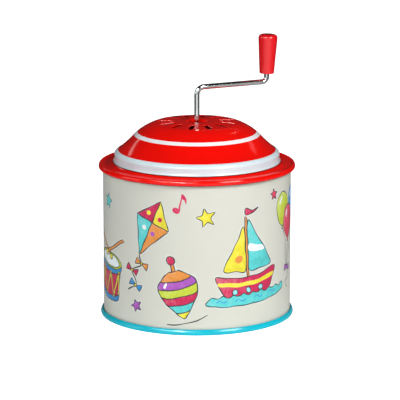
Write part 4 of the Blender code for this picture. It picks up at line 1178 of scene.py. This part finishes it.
def make_floor():
    """White paper that also gives off a little light, so that it stays white all over the picture.

    In gloss it shows as a lit patch in front of the object, which fades into a dark room."""
    paper = Finish("white_paper", linear(250, 250, 250), 0.9)
    paper.shade("Specular IOR Level", 0.1)
    paper.shade("Emission Color", (1.0, 1.0, 1.0, 1.0))
    rays = paper.node("LightPath").outputs
    place = paper.split(paper.node("TexCoord").outputs["Object"])
    behind = paper.ranged(place["Y"], 1.0, 0.03, -0.25, 0.2)
    aside = paper.ranged(paper.math("ABSOLUTE", place["X"]), 1.0, 0.12, 0.2, 0.38)
    mirrored = paper.math("MULTIPLY", behind, paper.math("MULTIPLY", aside, FLOOR_MIRROR))
    lost = paper.math("MULTIPLY", rays["Is Glossy Ray"], paper.math("SUBTRACT", 1.0, mirrored))
    shown = paper.math("SUBTRACT", 1.0, lost)
    extra = paper.math("MULTIPLY", rays["Is Camera Ray"], BACKDROP_GLOW - FLOOR_GLOW)
    paper.shade("Emission Strength", paper.math("MULTIPLY", paper.math("ADD", extra, FLOOR_GLOW), shown))
    white = paper.mottled(paper.noise(8), linear(248, 248, 248), linear(252, 252, 252))
    paper.shade("Base Color", paper.scaled(white, shown))
    corners = [(x * FLOOR_REACH, y * FLOOR_REACH, 0) for x, y in ((-1, -1), (1, -1), (1, 1), (-1, 1))]
    piece("studio_floor", corners, [(0, 1, 2, 3)], [paper.material])


def softbox(name, azimuth, elevation, distance, width, height, watts, colour=(1, 1, 1)):
    """A rectangular light seen from the object at these angles, in degrees from the front and the floor."""
    light = bpy.data.lights.new(name, "AREA")
    light.shape = "RECTANGLE"
    light.size = width * MM
    light.size_y = height * MM
    light.energy = watts
    light.color = colour
    made = placed(name, light)
    turn, rise = radians(azimuth), radians(elevation)
    way = Vector((sin(turn) * cos(rise), -cos(turn) * cos(rise), sin(rise)))
    made.location = (LIGHT_TARGET + way * distance) * MM
    made.rotation_euler = way.to_track_quat("Z", "Y").to_euler()


def make_world():
    """A dim room, a little lighter low down than overhead, with two windows that show only in gloss."""
    world = bpy.data.worlds.new("studio")
    bpy.context.scene.world = world
    world.use_nodes = True
    room = Nodes(world.node_tree)
    way = room.split(room.node("TexCoord").outputs["Generated"])
    ramp = room.node("ValToRGB", {"Fac": way["Z"]})
    for element, position, grey in zip(ramp.color_ramp.elements, (0.0, 0.35), (0.12, 0.05)):
        element.position = position
        element.color = (grey, grey, grey, 1)
    background = room.tree.nodes["Background"]
    room.feed(background.inputs["Color"], ramp.outputs["Color"])
    background.inputs["Strength"].default_value = 1.0
    level = GLOSS_ROOM
    for edges, strength in ((HIGH_EDGES, HIGH_WINDOW), (LOW_EDGES, LOW_WINDOW)):
        lit = 1.0
        for axis, dark, bright in edges:
            lit = room.math("MULTIPLY", room.ranged(way[axis], 0.0, 1.0, dark, bright), lit)
        level = room.math("MULTIPLY_ADD", lit, strength, level)
    mirrored = room.node("Background", {"Strength": level})
    glossy = room.node("LightPath").outputs["Is Glossy Ray"]
    either = room.node("MixShader", {0: glossy, 1: background.outputs[0], 2: mirrored.outputs[0]})
    room.feed(room.tree.nodes["World Output"].inputs["Surface"], either.outputs["Shader"])


def make_camera():
    camera = bpy.data.cameras.new("photo_camera")
    camera.sensor_width = SENSOR_WIDTH
    camera.lens = CAMERA_LENS
    camera.clip_start = 0.05
    camera.clip_end = 50
    made = placed("photo_camera", camera)
    place = Vector((0, -CAMERA_DISTANCE * cos(CAMERA_HEIGHT_ANGLE),
                    CAMERA_TARGET_Z + CAMERA_DISTANCE * sin(CAMERA_HEIGHT_ANGLE)))
    made.location = place * MM
    made.rotation_euler = (Vector(CAMERA_AIM) - place).to_track_quat("-Z", "Y").to_euler()
    bpy.context.scene.camera = made


make_floor()
make_world()
make_camera()
for light in LIGHTS:
    softbox(*light)
bpy.context.scene.view_settings.view_transform = "Standard"

bpy.context.view_layer.update()
